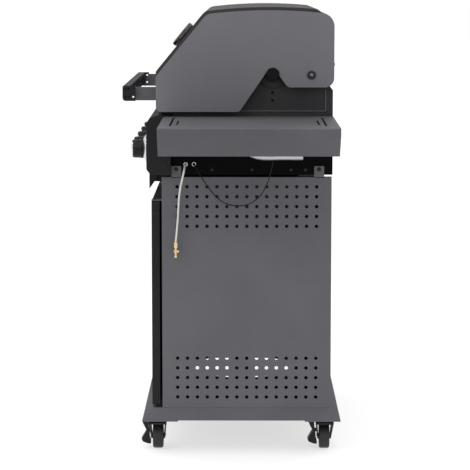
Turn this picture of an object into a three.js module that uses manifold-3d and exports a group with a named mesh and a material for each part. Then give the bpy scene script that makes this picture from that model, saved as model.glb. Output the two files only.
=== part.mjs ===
// A gas barbecue grill on a wheeled cabinet, as a scene graph of separate solid pieces.
// Millimetres, +Z up. X runs to the grill's right-hand side, -Y is its front, the floor is Z = 0.

import * as THREE from "three";
import { mergeVertices } from "three/addons/utils/BufferGeometryUtils.js";
import Module from "manifold-3d";

const wasm = await Module();
wasm.setup();

// ---- Driving dimensions ----------------------------------------------------------------------

const SHEET = 2; // wall of every folded sheet piece
const GAP = 0.4; // clearance between pieces that lie against each other

const BASE = { halfX: 380, front: -226.5, back: 274.5, bottom: 91, top: 118, flare: 25, gusset: 88 };
const TANK_HOLE = { x: -140, y: 24, radius: 146, bar: 54 };
const CABINET = { halfX: 355, front: -176, back: 250, top: 707, flange: 20, rearTop: 640 };
const PANEL_TABS = { width: 25, top: 735, from: [-152, 206] };
const HEADER = { back: -150, bottom: 628, top: 655 };
const DOOR = { front: -202, back: -182, bottom: 126.5, top: 646, outerX: 353, halfGap: 1.5 };
const DOOR_HINGE = { x: 344, y: -193.5, pin: 3, ear: 648 };

const FIREBOX = { halfX: 352, front: -150, back: 252, bottom: 713, frontTop: 880, backTop: 925 };
const FUNNEL = { top: 750, halfX: 90, front: -55, back: 145 };
const PIVOT = { y: 197.6, z: 964, bolt: 5, washer: 11 };
const SPIT_BOSS = { y: 101.5, z: 966, stem: 13, flange: 16.5 };
const LEDGE = { depth: 12, tamer: 803, grate: 856 };

const PANEL = { halfX: 368, front: -213.7, back: -171, bottom: 713.5, top: 862, shoulder: 788 };
const VALVE_Z = 776.5;
const MAIN_BURNER_X = [-240, -80, 80, 240];
const SIDE_VALVE_X = 325;
const KNOB = { radius: 24.5, front: -252, back: -223, bore: 4 };

const LID = { halfX: 372, front: -189, back: 254, cap: 3, flange: 22, frontBottom: 876, backBottom: 1026 };
const LID_SLOPE = { start: 972.6, degrees: 50.66 };
const LID_ARCH = { top: 1132, y: 94, radius: 1282, crownBack: 212 };
const LID_CAP = { drop: 8, bottom: 872, rearBottom: 933 };
const HANDLE = { halfX: 330, front: -274.5, depth: 21, bottom: 896.5, top: 935, endDepth: 33 };
const BRACKET = { x: 312, bottom: 897, top: 931, sheet: 3 };
const THERMOMETER = { radius: 37, thickness: 15, z: 1048 };

const SHELF = { inner: 352.4, outer: 720, front: -170.4, back: 253.4, bottom: 790, top: 860 };
const SHELF_EDGE = { lip: 844, foot: 668 };
const RECESS = { x0: 397, x1: 653, y0: -146, y1: 225, floor: 802 };
const SIDE_LID = { x0: 402, x1: 648, y0: -141, y1: 220, bottom: 856, top: 860 };
const SIDE_HINGE = { y: 214, z: 854, pin: 2 };
const SIDE_BURNER = { x: 525, y: 40, radius: 45 };

const TRAY = { halfX: 91, front: -221, back: 165, bottom: 667, top: 700, pullHalfX: 97 };
const CASTER = { x: 325, front: -190, back: 236.5, trail: 28, radius: 34, width: 26, axle: 4 };

// Centre lines of the two loose leads under the right-hand shelf.
const GAS_TUBE = { diameter: 5 };
const GAS_TUBE_ROUTE = [
  [352.4, -116, 739], [361, -116, 739], [369, -116.5, 738], [376, -117.5, 733.5],
  [380.5, -119, 726], [382, -121, 717], [381.5, -123, 708], [380, -125.5, 697],
  [378.5, -128, 685], [377, -130, 672], [375.5, -132, 658], [374, -133, 643],
  [373, -134, 627], [372, -135, 611], [371.5, -136, 595], [371, -137.5, 579],
  [370.5, -139, 563], [370, -140.8, 545],
];
const WIRE = { diameter: 2.5 };
const WIRE_ROUTE = [
  [352.4, -95, 739.5], [358, -95, 739.5], [364, -93, 736.5], [368, -88, 729], [370, -80, 716],
  [371, -72, 703], [372, -62, 688], [373, -50, 672], [375, -36, 657], [378, -20, 646],
  [381, -2, 640], [385, 16, 638.5], [389, 34, 641], [394, 50, 648], [400, 64, 659],
  [407, 76, 674], [415, 85, 692], [423, 92, 711], [431, 97, 731], [439, 101, 752],
  [446, 103.5, 772], [450, 105, 786], [453, 105.5, 799.2],
];

// ---- Solids ----------------------------------------------------------------------------------

// A closed geometry as a solid that can be joined and cut.
function solid(geometry) {
  const bare = geometry.clone();
  Object.keys(bare.attributes)
    .filter((name) => name !== "position")
    .forEach((name) => bare.deleteAttribute(name));
  const merged = mergeVertices(bare, 1e-4);
  const vertProperties = new Float32Array(merged.attributes.position.array);
  const triVerts = new Uint32Array(merged.index.array);
  return new wasm.Manifold(new wasm.Mesh({ numProp: 3, vertProperties, triVerts }));
}

function join(...solids) {
  return solids.reduce((all, next) => all.add(next));
}

function cut(body, ...tools) {
  return tools.reduce((left, tool) => left.subtract(tool), body);
}

function box([x0, x1], [y0, y1], [z0, z1]) {
  const geometry = new THREE.BoxGeometry(x1 - x0, y1 - y0, z1 - z0);
  return solid(geometry.translate((x0 + x1) / 2, (y0 + y1) / 2, (z0 + z1) / 2));
}

const AXES = {
  x: new THREE.Matrix4().makeRotationZ(-Math.PI / 2),
  y: new THREE.Matrix4(),
  z: new THREE.Matrix4().makeRotationX(Math.PI / 2),
};

// A cylinder along an axis, from one end to the other, through the point at.
function rod(axis, radius, [from, to], at, sides = 16) {
  const geometry = new THREE.CylinderGeometry(radius, radius, to - from, sides);
  geometry.applyMatrix4(AXES[axis]);
  const centre = { x: at[0], y: at[1], z: at[2] };
  centre[axis] = (from + to) / 2;
  return solid(geometry.translate(centre.x, centre.y, centre.z));
}

// A turned piece about the line through at, from its profile of [radius, distance along axis].
function turned(axis, profile, at, sides = 24) {
  const points = profile.map(([r, d]) => new THREE.Vector2(r, d));
  const geometry = new THREE.LatheGeometry(points, sides);
  geometry.applyMatrix4(AXES[axis]);
  return solid(geometry.translate(...at));
}

// Which way an outline's two coordinates and its depth run, for a prism along each axis.
const PRISM = {
  x: new THREE.Matrix4().makeBasis(
    new THREE.Vector3(0, 1, 0), new THREE.Vector3(0, 0, 1), new THREE.Vector3(1, 0, 0)),
  y: new THREE.Matrix4().makeBasis(
    new THREE.Vector3(1, 0, 0), new THREE.Vector3(0, 0, 1), new THREE.Vector3(0, -1, 0)),
  z: new THREE.Matrix4(),
};

// An outline swept along an axis. Outlines are [y, z] along x, [x, z] along y, [x, y] along z.
function prism(axis, outline, [from, to]) {
  const shape = new THREE.Shape(outline.map(([a, b]) => new THREE.Vector2(a, b)));
  const geometry = new THREE.ExtrudeGeometry(shape, { depth: to - from, bevelEnabled: false });
  geometry.translate(0, 0, axis === "y" ? -to : from);
  return solid(geometry.applyMatrix4(PRISM[axis]));
}

// A four-sided frustum between two rectangles [x0, x1, y0, y1], the lower one at z0.
function frustum(low, z0, high, z1) {
  const corners = [[low, z0], [high, z1]].flatMap(([[x0, x1, y0, y1], z]) => [
    [x0, y0, z], [x1, y0, z], [x1, y1, z], [x0, y1, z],
  ]);
  const faces = [
    [3, 2, 1, 0], [4, 5, 6, 7], [0, 1, 5, 4], [1, 2, 6, 5], [2, 3, 7, 6], [3, 0, 4, 7],
  ];
  const geometry = new THREE.BufferGeometry();
  geometry.setAttribute("position", new THREE.Float32BufferAttribute(corners.flat(), 3));
  geometry.setIndex(faces.flatMap(([a, b, c, d]) => [a, b, c, a, c, d]));
  return solid(geometry);
}

// A round tube's solid along a hand-laid route, with one section every step millimetres.
function lead(route, diameter, sides, step) {
  const curve = new THREE.CatmullRomCurve3(route.map((p) => new THREE.Vector3(...p)));
  const section = new THREE.Shape();
  section.absarc(0, 0, diameter / 2, 0, 2 * Math.PI);
  const steps = Math.round(curve.getLength() / step);
  return solid(new THREE.ExtrudeGeometry(section, {
    steps, extrudePath: curve, curveSegments: sides, bevelEnabled: false,
  }));
}

// ---- Outlines --------------------------------------------------------------------------------

// A closed outline from its corners [a, b, radius], with the corners rounded every 15 degrees.
function rounded(corners) {
  return corners.flatMap(([a, b, radius = 0], i) => {
    if (!radius) return [[a, b]];
    const here = new THREE.Vector2(a, b);
    const [before, after] = [-1, 1].map((step) => {
      const [c, d] = corners[(i + step + corners.length) % corners.length];
      return new THREE.Vector2(c, d).sub(here).normalize();
    });
    const half = Math.acos(THREE.MathUtils.clamp(before.dot(after), -1, 1)) / 2;
    const middle = before.clone().add(after).normalize();
    const centre = here.clone().addScaledVector(middle, radius / Math.sin(half));
    const start = here.clone().addScaledVector(before, radius / Math.tan(half)).sub(centre);
    const turn = Math.PI - 2 * half;
    const sense = Math.sign(start.cross(here.clone().sub(centre)));
    const steps = Math.max(2, Math.ceil(THREE.MathUtils.radToDeg(turn) / 15));
    return Array.from({ length: steps + 1 }, (_, k) => {
      const angle = (sense * turn * k) / steps;
      const [x, y] = [Math.cos(angle), Math.sin(angle)];
      return [centre.x + start.x * x - start.y * y, centre.y + start.x * y + start.y * x];
    });
  });
}

// ---- Pieces ----------------------------------------------------------------------------------

const grill = new THREE.Group();

const LOOKS = {
  coated: { color: 0x63636a, roughness: 0.5, metalness: 0.3 },
  black: { color: 0x28262a, roughness: 0.55, metalness: 0.2 },
  enamel: { color: 0x4f4a4c, roughness: 0.35, metalness: 0.2 },
  steel: { color: 0xb8bbbe, roughness: 0.3, metalness: 1 },
  iron: { color: 0x2b2b2d, roughness: 0.8, metalness: 0.4 },
  plastic: { color: 0x262629, roughness: 0.4, metalness: 0 },
  rubber: { color: 0x1b1b1c, roughness: 0.8, metalness: 0 },
  brass: { color: 0xc79a4b, roughness: 0.35, metalness: 1 },
  aluminium: { color: 0xd6d2c8, roughness: 0.45, metalness: 0.8 },
};

function add(name, body, look) {
  const { vertProperties, triVerts } = body.getMesh();
  const geometry = new THREE.BufferGeometry();
  geometry.setAttribute("position", new THREE.BufferAttribute(vertProperties, 3));
  geometry.setIndex(new THREE.BufferAttribute(triVerts, 1));
  geometry.computeVertexNormals();
  const mesh = new THREE.Mesh(geometry, new THREE.MeshStandardMaterial(LOOKS[look]));
  mesh.name = name;
  grill.add(mesh);
}

// The same piece on the grill's other side.
function mirrored(body) {
  return body.mirror([1, 0, 0]);
}

const SIDES = { right: (body) => body, left: mirrored };

// A shallow pan with flared skirts, a floor cut for the gas cylinder, and corner gussets.
function baseTray() {
  const { halfX, front, back, bottom, top, flare, gusset } = BASE;
  const low = [-halfX, halfX, front, back];
  const high = [flare - halfX, halfX - flare, front + flare, back - flare];
  const inward = (r, d) => [r[0] + d, r[1] - d, r[2] + d, r[3] - d];
  const skirt = SHEET * Math.SQRT2;
  const hollow = frustum(inward(low, skirt), bottom, inward(high, skirt), top - SHEET);
  const under = box([skirt - halfX, halfX - skirt], [front + skirt, back - skirt], [80, bottom + 0.5]);
  const { x, y, radius, bar } = TANK_HOLE;
  const hole = rod("z", radius, [bottom, top + 5], [x, y, 0], 40);
  const middle = box([x - radius - 5, x + radius + 5], [y - bar / 2, y + bar / 2], [bottom, top + 5]);
  const pinHoles = [-1, 1].map((s) => {
    return rod("z", DOOR_HINGE.pin + 0.5, [bottom, top + 5], [s * DOOR_HINGE.x, DOOR_HINGE.y, 0]);
  });
  const tray = cut(frustum(low, bottom, high, top), hollow, under, hole.subtract(middle), ...pinHoles);
  const reach = 90;
  const gussets = [-1, 1].flatMap((s) => [[front, front + reach], [back - reach, back]].map((ys) => {
    const xs = [s * halfX, s * (halfX - reach)].sort((a, b) => a - b);
    return box(xs, ys, [gusset, bottom + 0.6]);
  }));
  return join(tray, ...gussets);
}

// A folded side panel: a flat sheet with inward flanges, two tabs and the door's top hinge ear.
function sidePanel() {
  const { halfX, front, back, top, flange } = CABINET;
  const bottom = BASE.top + GAP;
  const outer = halfX;
  const inner = halfX - SHEET;
  const fold = [halfX - flange, halfX];
  const tabs = PANEL_TABS.from.map((y) => {
    return box([inner, outer], [y, y + PANEL_TABS.width], [top - 1, PANEL_TABS.top]);
  });
  const ear = cut(
    box([halfX - 22, halfX], [DOOR.front, front + 1], [DOOR_HINGE.ear, DOOR_HINGE.ear + SHEET]),
    rod("z", DOOR_HINGE.pin + 0.5, [640, 660], [DOOR_HINGE.x, DOOR_HINGE.y, 0]),
  );
  return join(
    box([inner, outer], [front, back], [bottom, top]),
    box(fold, [front, front + SHEET], [bottom, top]),
    box(fold, [back - SHEET, back], [bottom, top]),
    box(fold, [front, back], [bottom, bottom + SHEET]),
    box(fold, [front, back], [top - SHEET, top]),
    ear,
    ...tabs,
  );
}

function rearPanel() {
  const x = CABINET.halfX - SHEET - GAP;
  const y = CABINET.back - SHEET - GAP;
  return box([-x, x], [y - SHEET, y], [BASE.top + SHEET + 2 * GAP, CABINET.rearTop]);
}

// The rail across the cabinet's front that the doors close against.
function frontHeader() {
  const x = CABINET.halfX - SHEET - GAP;
  const y = CABINET.front + SHEET + GAP;
  const { back, bottom, top } = HEADER;
  return cut(
    box([-x, x], [y, back], [bottom, top]),
    box([-x - 1, x + 1], [y + SHEET, back + 1], [bottom + SHEET, top - SHEET]),
  );
}

// A folded door, open at the back, with its hinge pins above and below.
function door() {
  const { front, back, bottom, top, outerX, halfGap } = DOOR;
  const shell = cut(
    box([halfGap, outerX], [front, back], [bottom, top]),
    box([halfGap + SHEET, outerX - SHEET], [front + SHEET, back + 1], [bottom + SHEET, top - SHEET]),
  );
  const { x, y, pin } = DOOR_HINGE;
  const blocks = [[bottom, bottom + 20], [top - 20, top]].map((zs) => {
    return box([x - 7, outerX - 1], [front + 1, back], zs);
  });
  return join(
    shell, ...blocks,
    rod("z", pin, [BASE.top - 5, bottom + 1], [x, y, 0]),
    rod("z", pin, [top - 1, DOOR_HINGE.ear + SHEET + 2], [x, y, 0]),
  );
}

// The cast firebox: walls, a funnel floor over the grease tray, ledges, and the lid's pivot ears.
function firebox() {
  const { halfX, front, back, bottom, frontTop, backTop } = FIREBOX;
  const side = rounded([
    [front, bottom], [back, bottom], [back, backTop], [PIVOT.y + 28, PIVOT.z - 4],
    [PIVOT.y + 20, PIVOT.z + 22, 14], [SPIT_BOSS.y + 34, PIVOT.z + 22],
    [SPIT_BOSS.y + 14, 1000, 12], [SPIT_BOSS.y - 16, 1000, 12], [20, 965], [front, frontTop],
  ]);
  const burnerHoles = MAIN_BURNER_X.map((x) => rod("y", 9, [front - 2, front + 5], [x, 0, VALVE_Z]));
  const pivotHoles = rod("x", PIVOT.bolt + 0.3, [-halfX - 5, halfX + 5], [0, PIVOT.y, PIVOT.z]);
  const leadHoles = [GAS_TUBE_ROUTE[0], WIRE_ROUTE[0]].map(([, y, z]) => {
    return rod("x", 4, [halfX - 5, halfX + 5], [0, y, z], 12);
  });
  const inner = box(
    [SHEET - halfX, halfX - SHEET], [front + SHEET, back - SHEET], [bottom - 1, PIVOT.z + 60]);
  const shell = cut(
    prism("x", side, [-halfX, halfX]), inner, pivotHoles, ...burnerHoles, ...leadHoles);
  const rim = [-halfX - 10, halfX + 10, front - 10, back + 10];
  const drain = [-FUNNEL.halfX, FUNNEL.halfX, FUNNEL.front, FUNNEL.back];
  const around = drain.map((v, i) => v + (i % 2 ? 3 : -3));
  const funnel = cut(
    frustum(around, bottom + 0.5, rim, FUNNEL.top),
    frustum(drain, bottom + SHEET, rim, FUNNEL.top + SHEET),
    box(drain.slice(0, 2), drain.slice(2), [bottom - 1, bottom + 3]),
  ).intersect(box([1 - halfX, halfX - 1], [front + 1, back - 1], [bottom - 1, FUNNEL.top + 9]));
  const ledges = [LEDGE.tamer, LEDGE.grate].flatMap((z) => [
    box([-halfX + 1, halfX - 1], [front + 1, front + SHEET + LEDGE.depth], [z - SHEET, z]),
    box([-halfX + 1, halfX - 1], [back - SHEET - LEDGE.depth, back - 1], [z - SHEET, z]),
  ]);
  const rails = [-1, 1].flatMap((s) => {
    const xs = [s * (TRAY.halfX + 1.5), s * (TRAY.halfX + 3.5)].sort((a, b) => a - b);
    const lip = [s * (TRAY.halfX - 7), s * (TRAY.halfX + 3.5)].sort((a, b) => a - b);
    return [
      box(xs, [-140, 175], [TRAY.bottom - 3, bottom + 1]),
      box(lip, [-140, 175], [TRAY.bottom - 3, TRAY.bottom - 1]),
    ];
  });
  return join(shell, funnel, ...ledges, ...rails);
}

// The folded control panel, open at the back, with closed ends and a hole for each valve stem.
function controlPanel() {
  const { halfX, front, back, bottom, top, shoulder } = PANEL;
  const foot = PANEL_TABS.from[0] - GAP;
  const outline = rounded([
    [foot, bottom], [front + 11, bottom, 6], [front, bottom + 14, 8], [front, top, 26],
    [back, top], [back, shoulder], [foot, shoulder],
  ]);
  const hollow = rounded([
    [foot + 5, bottom + SHEET], [front + 12, bottom + SHEET, 5], [front + SHEET, bottom + 15, 7],
    [front + SHEET, top - SHEET, 24], [foot + 5, top - SHEET],
  ]);
  const stems = [...MAIN_BURNER_X, SIDE_VALVE_X].map((x) => {
    return rod("y", 6, [front - 2, front + 8], [x, 0, VALVE_Z]);
  });
  const cover = box([-350, 350], [back - 1, foot], [top - SHEET, top]);
  return join(
    cut(
      prism("x", outline, [-halfX, halfX]),
      prism("x", hollow, [SHEET - halfX, halfX - SHEET]),
      ...stems,
    ),
    cover,
  );
}

// The gas pipe behind the control panel, with a valve and a stem for each knob.
function gasManifold() {
  const pipe = rod("x", 9, [-290, SIDE_VALVE_X + 18], [0, -180, VALVE_Z - 24], 12);
  const valves = [...MAIN_BURNER_X, SIDE_VALVE_X].map((x) => join(
    box([x - 11, x + 11], [-196, -164], [VALVE_Z - 20, VALVE_Z + 11]),
    rod("y", 3.6, [KNOB.back - 8, -190], [x, 0, VALVE_Z], 12),
  ));
  const jets = MAIN_BURNER_X.map((x) => rod("y", 5, [-166, -134], [x, 0, VALVE_Z], 12));
  return join(pipe, ...valves, ...jets);
}

// A straight tube burner with an open mouth over its valve's jet and a flat tail.
function burner(x) {
  return join(
    cut(
      rod("y", 13, [-142, 222], [x, 0, VALVE_Z], 14),
      rod("y", 9, [-145, -120], [x, 0, VALVE_Z], 14),
    ),
    box([x - 9, x + 9], [220, 249.5], [VALVE_Z - 1, VALVE_Z + 1]),
  );
}

// A folded steel tent that keeps drips off a burner.
function flameTamer(x) {
  const low = LEDGE.tamer + GAP;
  const outline = [
    [x - 60, low], [x - 57.5, low], [x, low + 26], [x + 57.5, low], [x + 60, low], [x, low + 29],
  ];
  return prism("y", outline, [-144, 246]);
}

// A cast cooking grate: a plate with long slots from front to back.
function cookingGrate(x0, x1) {
  const [y0, y1] = [-146, 248];
  const rim = 12;
  const pitch = 21;
  const bar = 9;
  const count = Math.floor((x1 - x0 - 2 * rim + bar) / pitch);
  const first = (x0 + x1 - count * pitch + bar) / 2;
  const z = LEDGE.grate + GAP;
  const slots = Array.from({ length: count }, (_, i) => {
    const a = first + i * pitch;
    return box([a, a + pitch - bar], [y0 + rim, y1 - rim], [z - 1, z + 11]);
  });
  return cut(box([x0, x1], [y0, y1], [z, z + 10]), ...slots);
}

// The raised rack over the back of the cooking grates, on four legs.
function warmingRack() {
  const [x0, x1, y0, y1, z] = [-345, 345, 88, 190, 972];
  const pitch = 17;
  const slots = Array.from({ length: 5 }, (_, i) => {
    const a = y0 + 10 + i * pitch;
    return [[x0 + 8, -4], [4, x1 - 8]].map((xs) => box(xs, [a, a + 13], [z - 1, z + 6]));
  });
  const foot = LEDGE.grate + 2 * GAP + 10;
  const legs = [x0 + 5, x1 - 5].flatMap((x) => [y0 + 5, y1 - 5].map((y) => {
    return rod("z", 3, [foot, z + 1], [x, y, 0], 8);
  }));
  return join(cut(box([x0, x1], [y0, y1], [z, z + 5]), ...slots.flat()), ...legs);
}

// The pan that slides in under the firebox's drain, with its pull at the front.
function greaseTray() {
  const { halfX, front, back, bottom, top, pullHalfX } = TRAY;
  return join(
    cut(
      box([-halfX, halfX], [front, back], [bottom, top]),
      box([SHEET - halfX, halfX - SHEET], [front + SHEET, back - SHEET], [bottom + SHEET, top + 1]),
    ),
    box([-pullHalfX, pullHalfX], [front - 3, front + 1], [650, 706]),
    box([-pullHalfX, pullHalfX], [front - 3, front + 12], [650, 652.5]),
  );
}

// ---- The lid ----

function archZ(y, drop) {
  return LID_ARCH.top - drop - (y - LID_ARCH.y) ** 2 / (2 * LID_ARCH.radius);
}

// The lid's outline from its front edge over the top to its back, moved in by drop on the slope
// and arch, and by inset on the front and back faces.
function lidOver(drop, inset = 0, radii = [10, 26], crown = false) {
  const rise = Math.tan(THREE.MathUtils.degToRad(LID_SLOPE.degrees));
  const [front, back] = [LID.front + inset, LID.back - inset];
  const start = LID_SLOPE.start + inset * rise - drop * Math.hypot(1, rise);
  let y = -60;
  for (let i = 0; i < 12; i += 1) y = front + (archZ(y, drop) - start) / rise;
  const end = crown ? LID_ARCH.crownBack - inset : back;
  const arch = [0.25, 0.5, 0.75].map((t) => y + t * (end - y)).map((v) => [v, archZ(v, drop)]);
  const low = drop + LID_CAP.drop;
  const step = crown ? [[end, archZ(end, drop), 5], [end + 12, archZ(end + 12, low), 5]] : [];
  const heel = [back, archZ(back, crown ? low : drop), 34 - inset];
  return [[front, start, radii[0]], [y, archZ(y, drop), radii[1]], ...arch, ...step, heel];
}

// The lid's cross-section moved in all round, reaching extra further down at front and back.
function lidSection(inset, extra, radii) {
  return rounded([
    [LID.front + inset, LID.frontBottom - extra], ...lidOver(inset, inset, radii, true),
    [LID.back - inset, LID.backBottom - extra],
  ]);
}

// The curved sheet of the lid, with a flange turned in at each end behind the end caps.
function lidSkin() {
  const h = LID.halfX;
  const facing = THREE.MathUtils.degToRad(90 + LID_SLOPE.degrees);
  const probe = new THREE.CylinderGeometry(5, 5, 40, 12).rotateX(facing);
  return cut(
    prism("x", lidSection(0, 0, [10, 26]), [-h, h]),
    prism("x", lidSection(SHEET, 60, [8, 24]), [SHEET - h, h - SHEET]),
    prism("x", lidSection(LID.flange, 60, [2, 5]), [-h - 1, h + 1]),
    solid(probe.translate(0, thermometerY(), THERMOMETER.z)),
  );
}

function thermometerY() {
  const rise = Math.tan(THREE.MathUtils.degToRad(LID_SLOPE.degrees));
  return LID.front + (THERMOMETER.z - LID_SLOPE.start) / rise;
}

// An end cap: a plate over the skin's end, notched round the spit boss and carrying the pivot.
function lidCap() {
  const { bottom, rearBottom } = LID_CAP;
  const notch = SPIT_BOSS.stem + 3;
  const arc = [150, 120, 90, 60, 30].map(THREE.MathUtils.degToRad).map((a) => {
    return [SPIT_BOSS.y + notch * Math.cos(a), SPIT_BOSS.z + notch * Math.sin(a)];
  });
  const outline = [
    ...rounded([
      [17, bottom, 13], [LID.front, bottom, 14], ...lidOver(LID_CAP.drop),
      [LID.back, rearBottom, 24], [139, rearBottom, 14], [SPIT_BOSS.y + notch, SPIT_BOSS.z - 4],
    ]),
    ...arc.reverse(),
  ];
  const [x0, x1] = [LID.halfX + GAP, LID.halfX + GAP + LID.cap];
  const boss = rod("x", 14, [FIREBOX.halfX + GAP, x1 - 1], [0, PIVOT.y, PIVOT.z]);
  const bore = rod("x", PIVOT.bolt + 0.3, [340, x1 + 1], [0, PIVOT.y, PIVOT.z]);
  return cut(join(prism("x", outline, [x0, x1]), boss), bore);
}

// A bolt that the lid's cap turns on, from the firebox's ear out to a flat washer head.
function pivotBolt() {
  const out = LID.halfX + GAP + LID.cap + GAP;
  return join(
    rod("x", PIVOT.bolt, [FIREBOX.halfX - 8, out + 1], [0, PIVOT.y, PIVOT.z]),
    rod("x", PIVOT.washer, [out, out + 3], [0, PIVOT.y, PIVOT.z], 24),
  );
}

// The plug in the firebox's spit-rod boss.
function spitPlug() {
  const out = LID.halfX + 2 * GAP + LID.cap;
  return join(
    rod("x", SPIT_BOSS.stem, [FIREBOX.halfX + GAP, out + 1], [0, SPIT_BOSS.y, SPIT_BOSS.z]),
    rod("x", SPIT_BOSS.flange, [out, out + 5], [0, SPIT_BOSS.y, SPIT_BOSS.z], 24),
  );
}

// The lid's long handle: a rounded bar with an end plate that wraps back at each end.
function handleBar() {
  const { halfX, front, depth, bottom, top, endDepth } = HANDLE;
  const section = (back) => rounded([
    [back, bottom], [front, bottom, 8], [front, top, 5], [back, top],
  ]);
  return join(
    prism("x", section(front + depth), [-halfX, halfX]),
    prism("x", section(front + endDepth), [-halfX, 3 - halfX]),
    prism("x", section(front + endDepth), [halfX - 3, halfX]),
  );
}

function handleBracket() {
  const { x, bottom, top, sheet } = BRACKET;
  const near = HANDLE.front + HANDLE.depth + GAP;
  return join(
    box([x, x + sheet], [near, LID.front - GAP], [bottom, top]),
    box([x - 14, x + 1], [near, near + sheet], [bottom, top]),
    box([x - 14, x + 1], [LID.front - GAP - sheet, LID.front - GAP], [bottom, top]),
  );
}

// The dial on the lid's slope, with its probe through the skin.
function thermometer() {
  const { radius, thickness } = THERMOMETER;
  const profile = [
    [0, -28], [4, -28], [4, GAP], [radius - 4, GAP], [radius, GAP + 5], [radius, thickness - 2],
    [radius - 2, thickness], [0, thickness],
  ];
  const points = profile.map(([r, d]) => new THREE.Vector2(r, d));
  const facing = THREE.MathUtils.degToRad(90 + LID_SLOPE.degrees);
  const geometry = new THREE.LatheGeometry(points, 28).rotateX(facing);
  return solid(geometry.translate(0, thermometerY(), THERMOMETER.z));
}

// ---- Shelves and side burner ----

// A folded shelf pan, open below, with a sloping outer edge.
function shelfPan() {
  const { inner, outer, front, back, bottom, top } = SHELF;
  const { lip, foot } = SHELF_EDGE;
  const outside = [[inner, bottom], [foot, bottom], [outer, lip], [outer, top], [inner, top]];
  const within = [
    [inner + SHEET, bottom - 5], [foot - 7, bottom - 5], [outer - SHEET, lip + 0.9],
    [outer - SHEET, top - SHEET], [inner + SHEET, top - SHEET],
  ];
  return cut(
    prism("y", outside, [front, back]),
    prism("y", within, [front + SHEET, back - SHEET]),
  );
}

// The right-hand shelf, with the burner's recess, its hinge holes and the burner's seat.
function rightShelf() {
  const { x0, x1, y0, y1, floor } = RECESS;
  const tub = box([x0 - SHEET, x1 + SHEET], [y0 - SHEET, y1 + SHEET], [floor - SHEET, SHELF.top - 1]);
  const space = box([x0, x1], [y0, y1], [floor, SHELF.top + 1]);
  const hinge = rod("x", SIDE_HINGE.pin + 0.5, [x0 - 5, x1 + 5], [0, SIDE_HINGE.y, SIDE_HINGE.z], 12);
  const seat = rod("z", 16, [floor - 5, floor + 1], [SIDE_BURNER.x, SIDE_BURNER.y, 0]);
  return cut(join(shelfPan(), tub), space, hinge, seat);
}

// The flush cover of the side burner, with two ears and pins on its hinge line.
function sideBurnerLid() {
  const { x0, x1, y0, y1, bottom, top } = SIDE_LID;
  const { y, z, pin } = SIDE_HINGE;
  const ears = [[x0, x0 + 3], [x1 - 3, x1]].map((xs) => box(xs, [y - 4, y + 4], [z - 3, bottom + 1]));
  return join(
    box([x0, x1], [y0, y1], [bottom, top]),
    ...ears,
    rod("x", pin, [RECESS.x0 - 1.5, x0 + 1], [0, y, z], 12),
    rod("x", pin, [x1 - 1, RECESS.x1 + 1.5], [0, y, z], 12),
  );
}

// The side burner's head and the mixing tube that runs back below the shelf.
function sideBurner() {
  const { x, y, radius } = SIDE_BURNER;
  const { floor } = RECESS;
  const head = turned("z", [
    [0, 0], [15, 0], [15, 9], [radius, 12], [radius, 26], [radius - 8, 32], [0, 32],
  ], [x, y, floor], 24);
  const route = [[x, y, floor + 4], [x, y + 2, floor - 12], [x, y + 14, 781], [x, y + 34, 777],
    [x, y + 80, 777], [x, y + 132, 777]];
  const tube = lead(route, 20, 12, 14);
  return join(head, tube);
}

// The wire grid over the side burner.
function sideBurnerGrate() {
  const { x, y } = SIDE_BURNER;
  const half = 105;
  const z = 840;
  const bars = [-66, -22, 22, 66].flatMap((d) => [
    box([x + d - 3, x + d + 3], [y - half, y + half], [z, z + 6]),
    box([x - half, x + half], [y + d - 3, y + d + 3], [z, z + 6]),
  ]);
  const square = (r, zs) => box([x - r, x + r], [y - r, y + r], zs);
  const ring = cut(square(half, [z, z + 6]), square(half - 7, [z - 1, z + 7]));
  const legs = [-1, 1].flatMap((i) => [-1, 1].map((j) => {
    return rod("z", 3.5, [RECESS.floor + GAP, z + 1], [x + i * (half - 5), y + j * (half - 5), 0], 8);
  }));
  return join(ring, ...bars, ...legs);
}

// A hexagon nut, a winged collar and a spud, hanging on the end of the gas tube.
function gasFitting() {
  const [x, y, z] = GAS_TUBE_ROUTE[GAS_TUBE_ROUTE.length - 1];
  const top = z - GAP;
  return join(
    rod("z", 4.8, [top - 15, top], [x, y, 0], 6),
    rod("z", 3, [top - 40, top - 14], [x, y, 0], 12),
    box([x - 2, x + 2], [y - 5, y + 8], [top - 26, top - 20]),
    rod("z", 4, [top - 40, top - 34], [x, y, 0], 12),
  );
}

// ---- Knobs ----

function knob(x) {
  const { radius, front, back, bore } = KNOB;
  const depth = back - front;
  const profile = [
    [bore, 0], [radius - 1, 0], [radius, 1.5], [radius - 1, depth - 3], [radius - 3.5, depth],
    [0, depth], [0, 12], [bore, 12], [bore, 0],
  ];
  const points = profile.map(([r, d]) => new THREE.Vector2(r, d));
  const geometry = new THREE.LatheGeometry(points, 28).rotateZ(Math.PI);
  return solid(geometry.translate(x, back, VALVE_Z));
}

// ---- Casters ----

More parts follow.
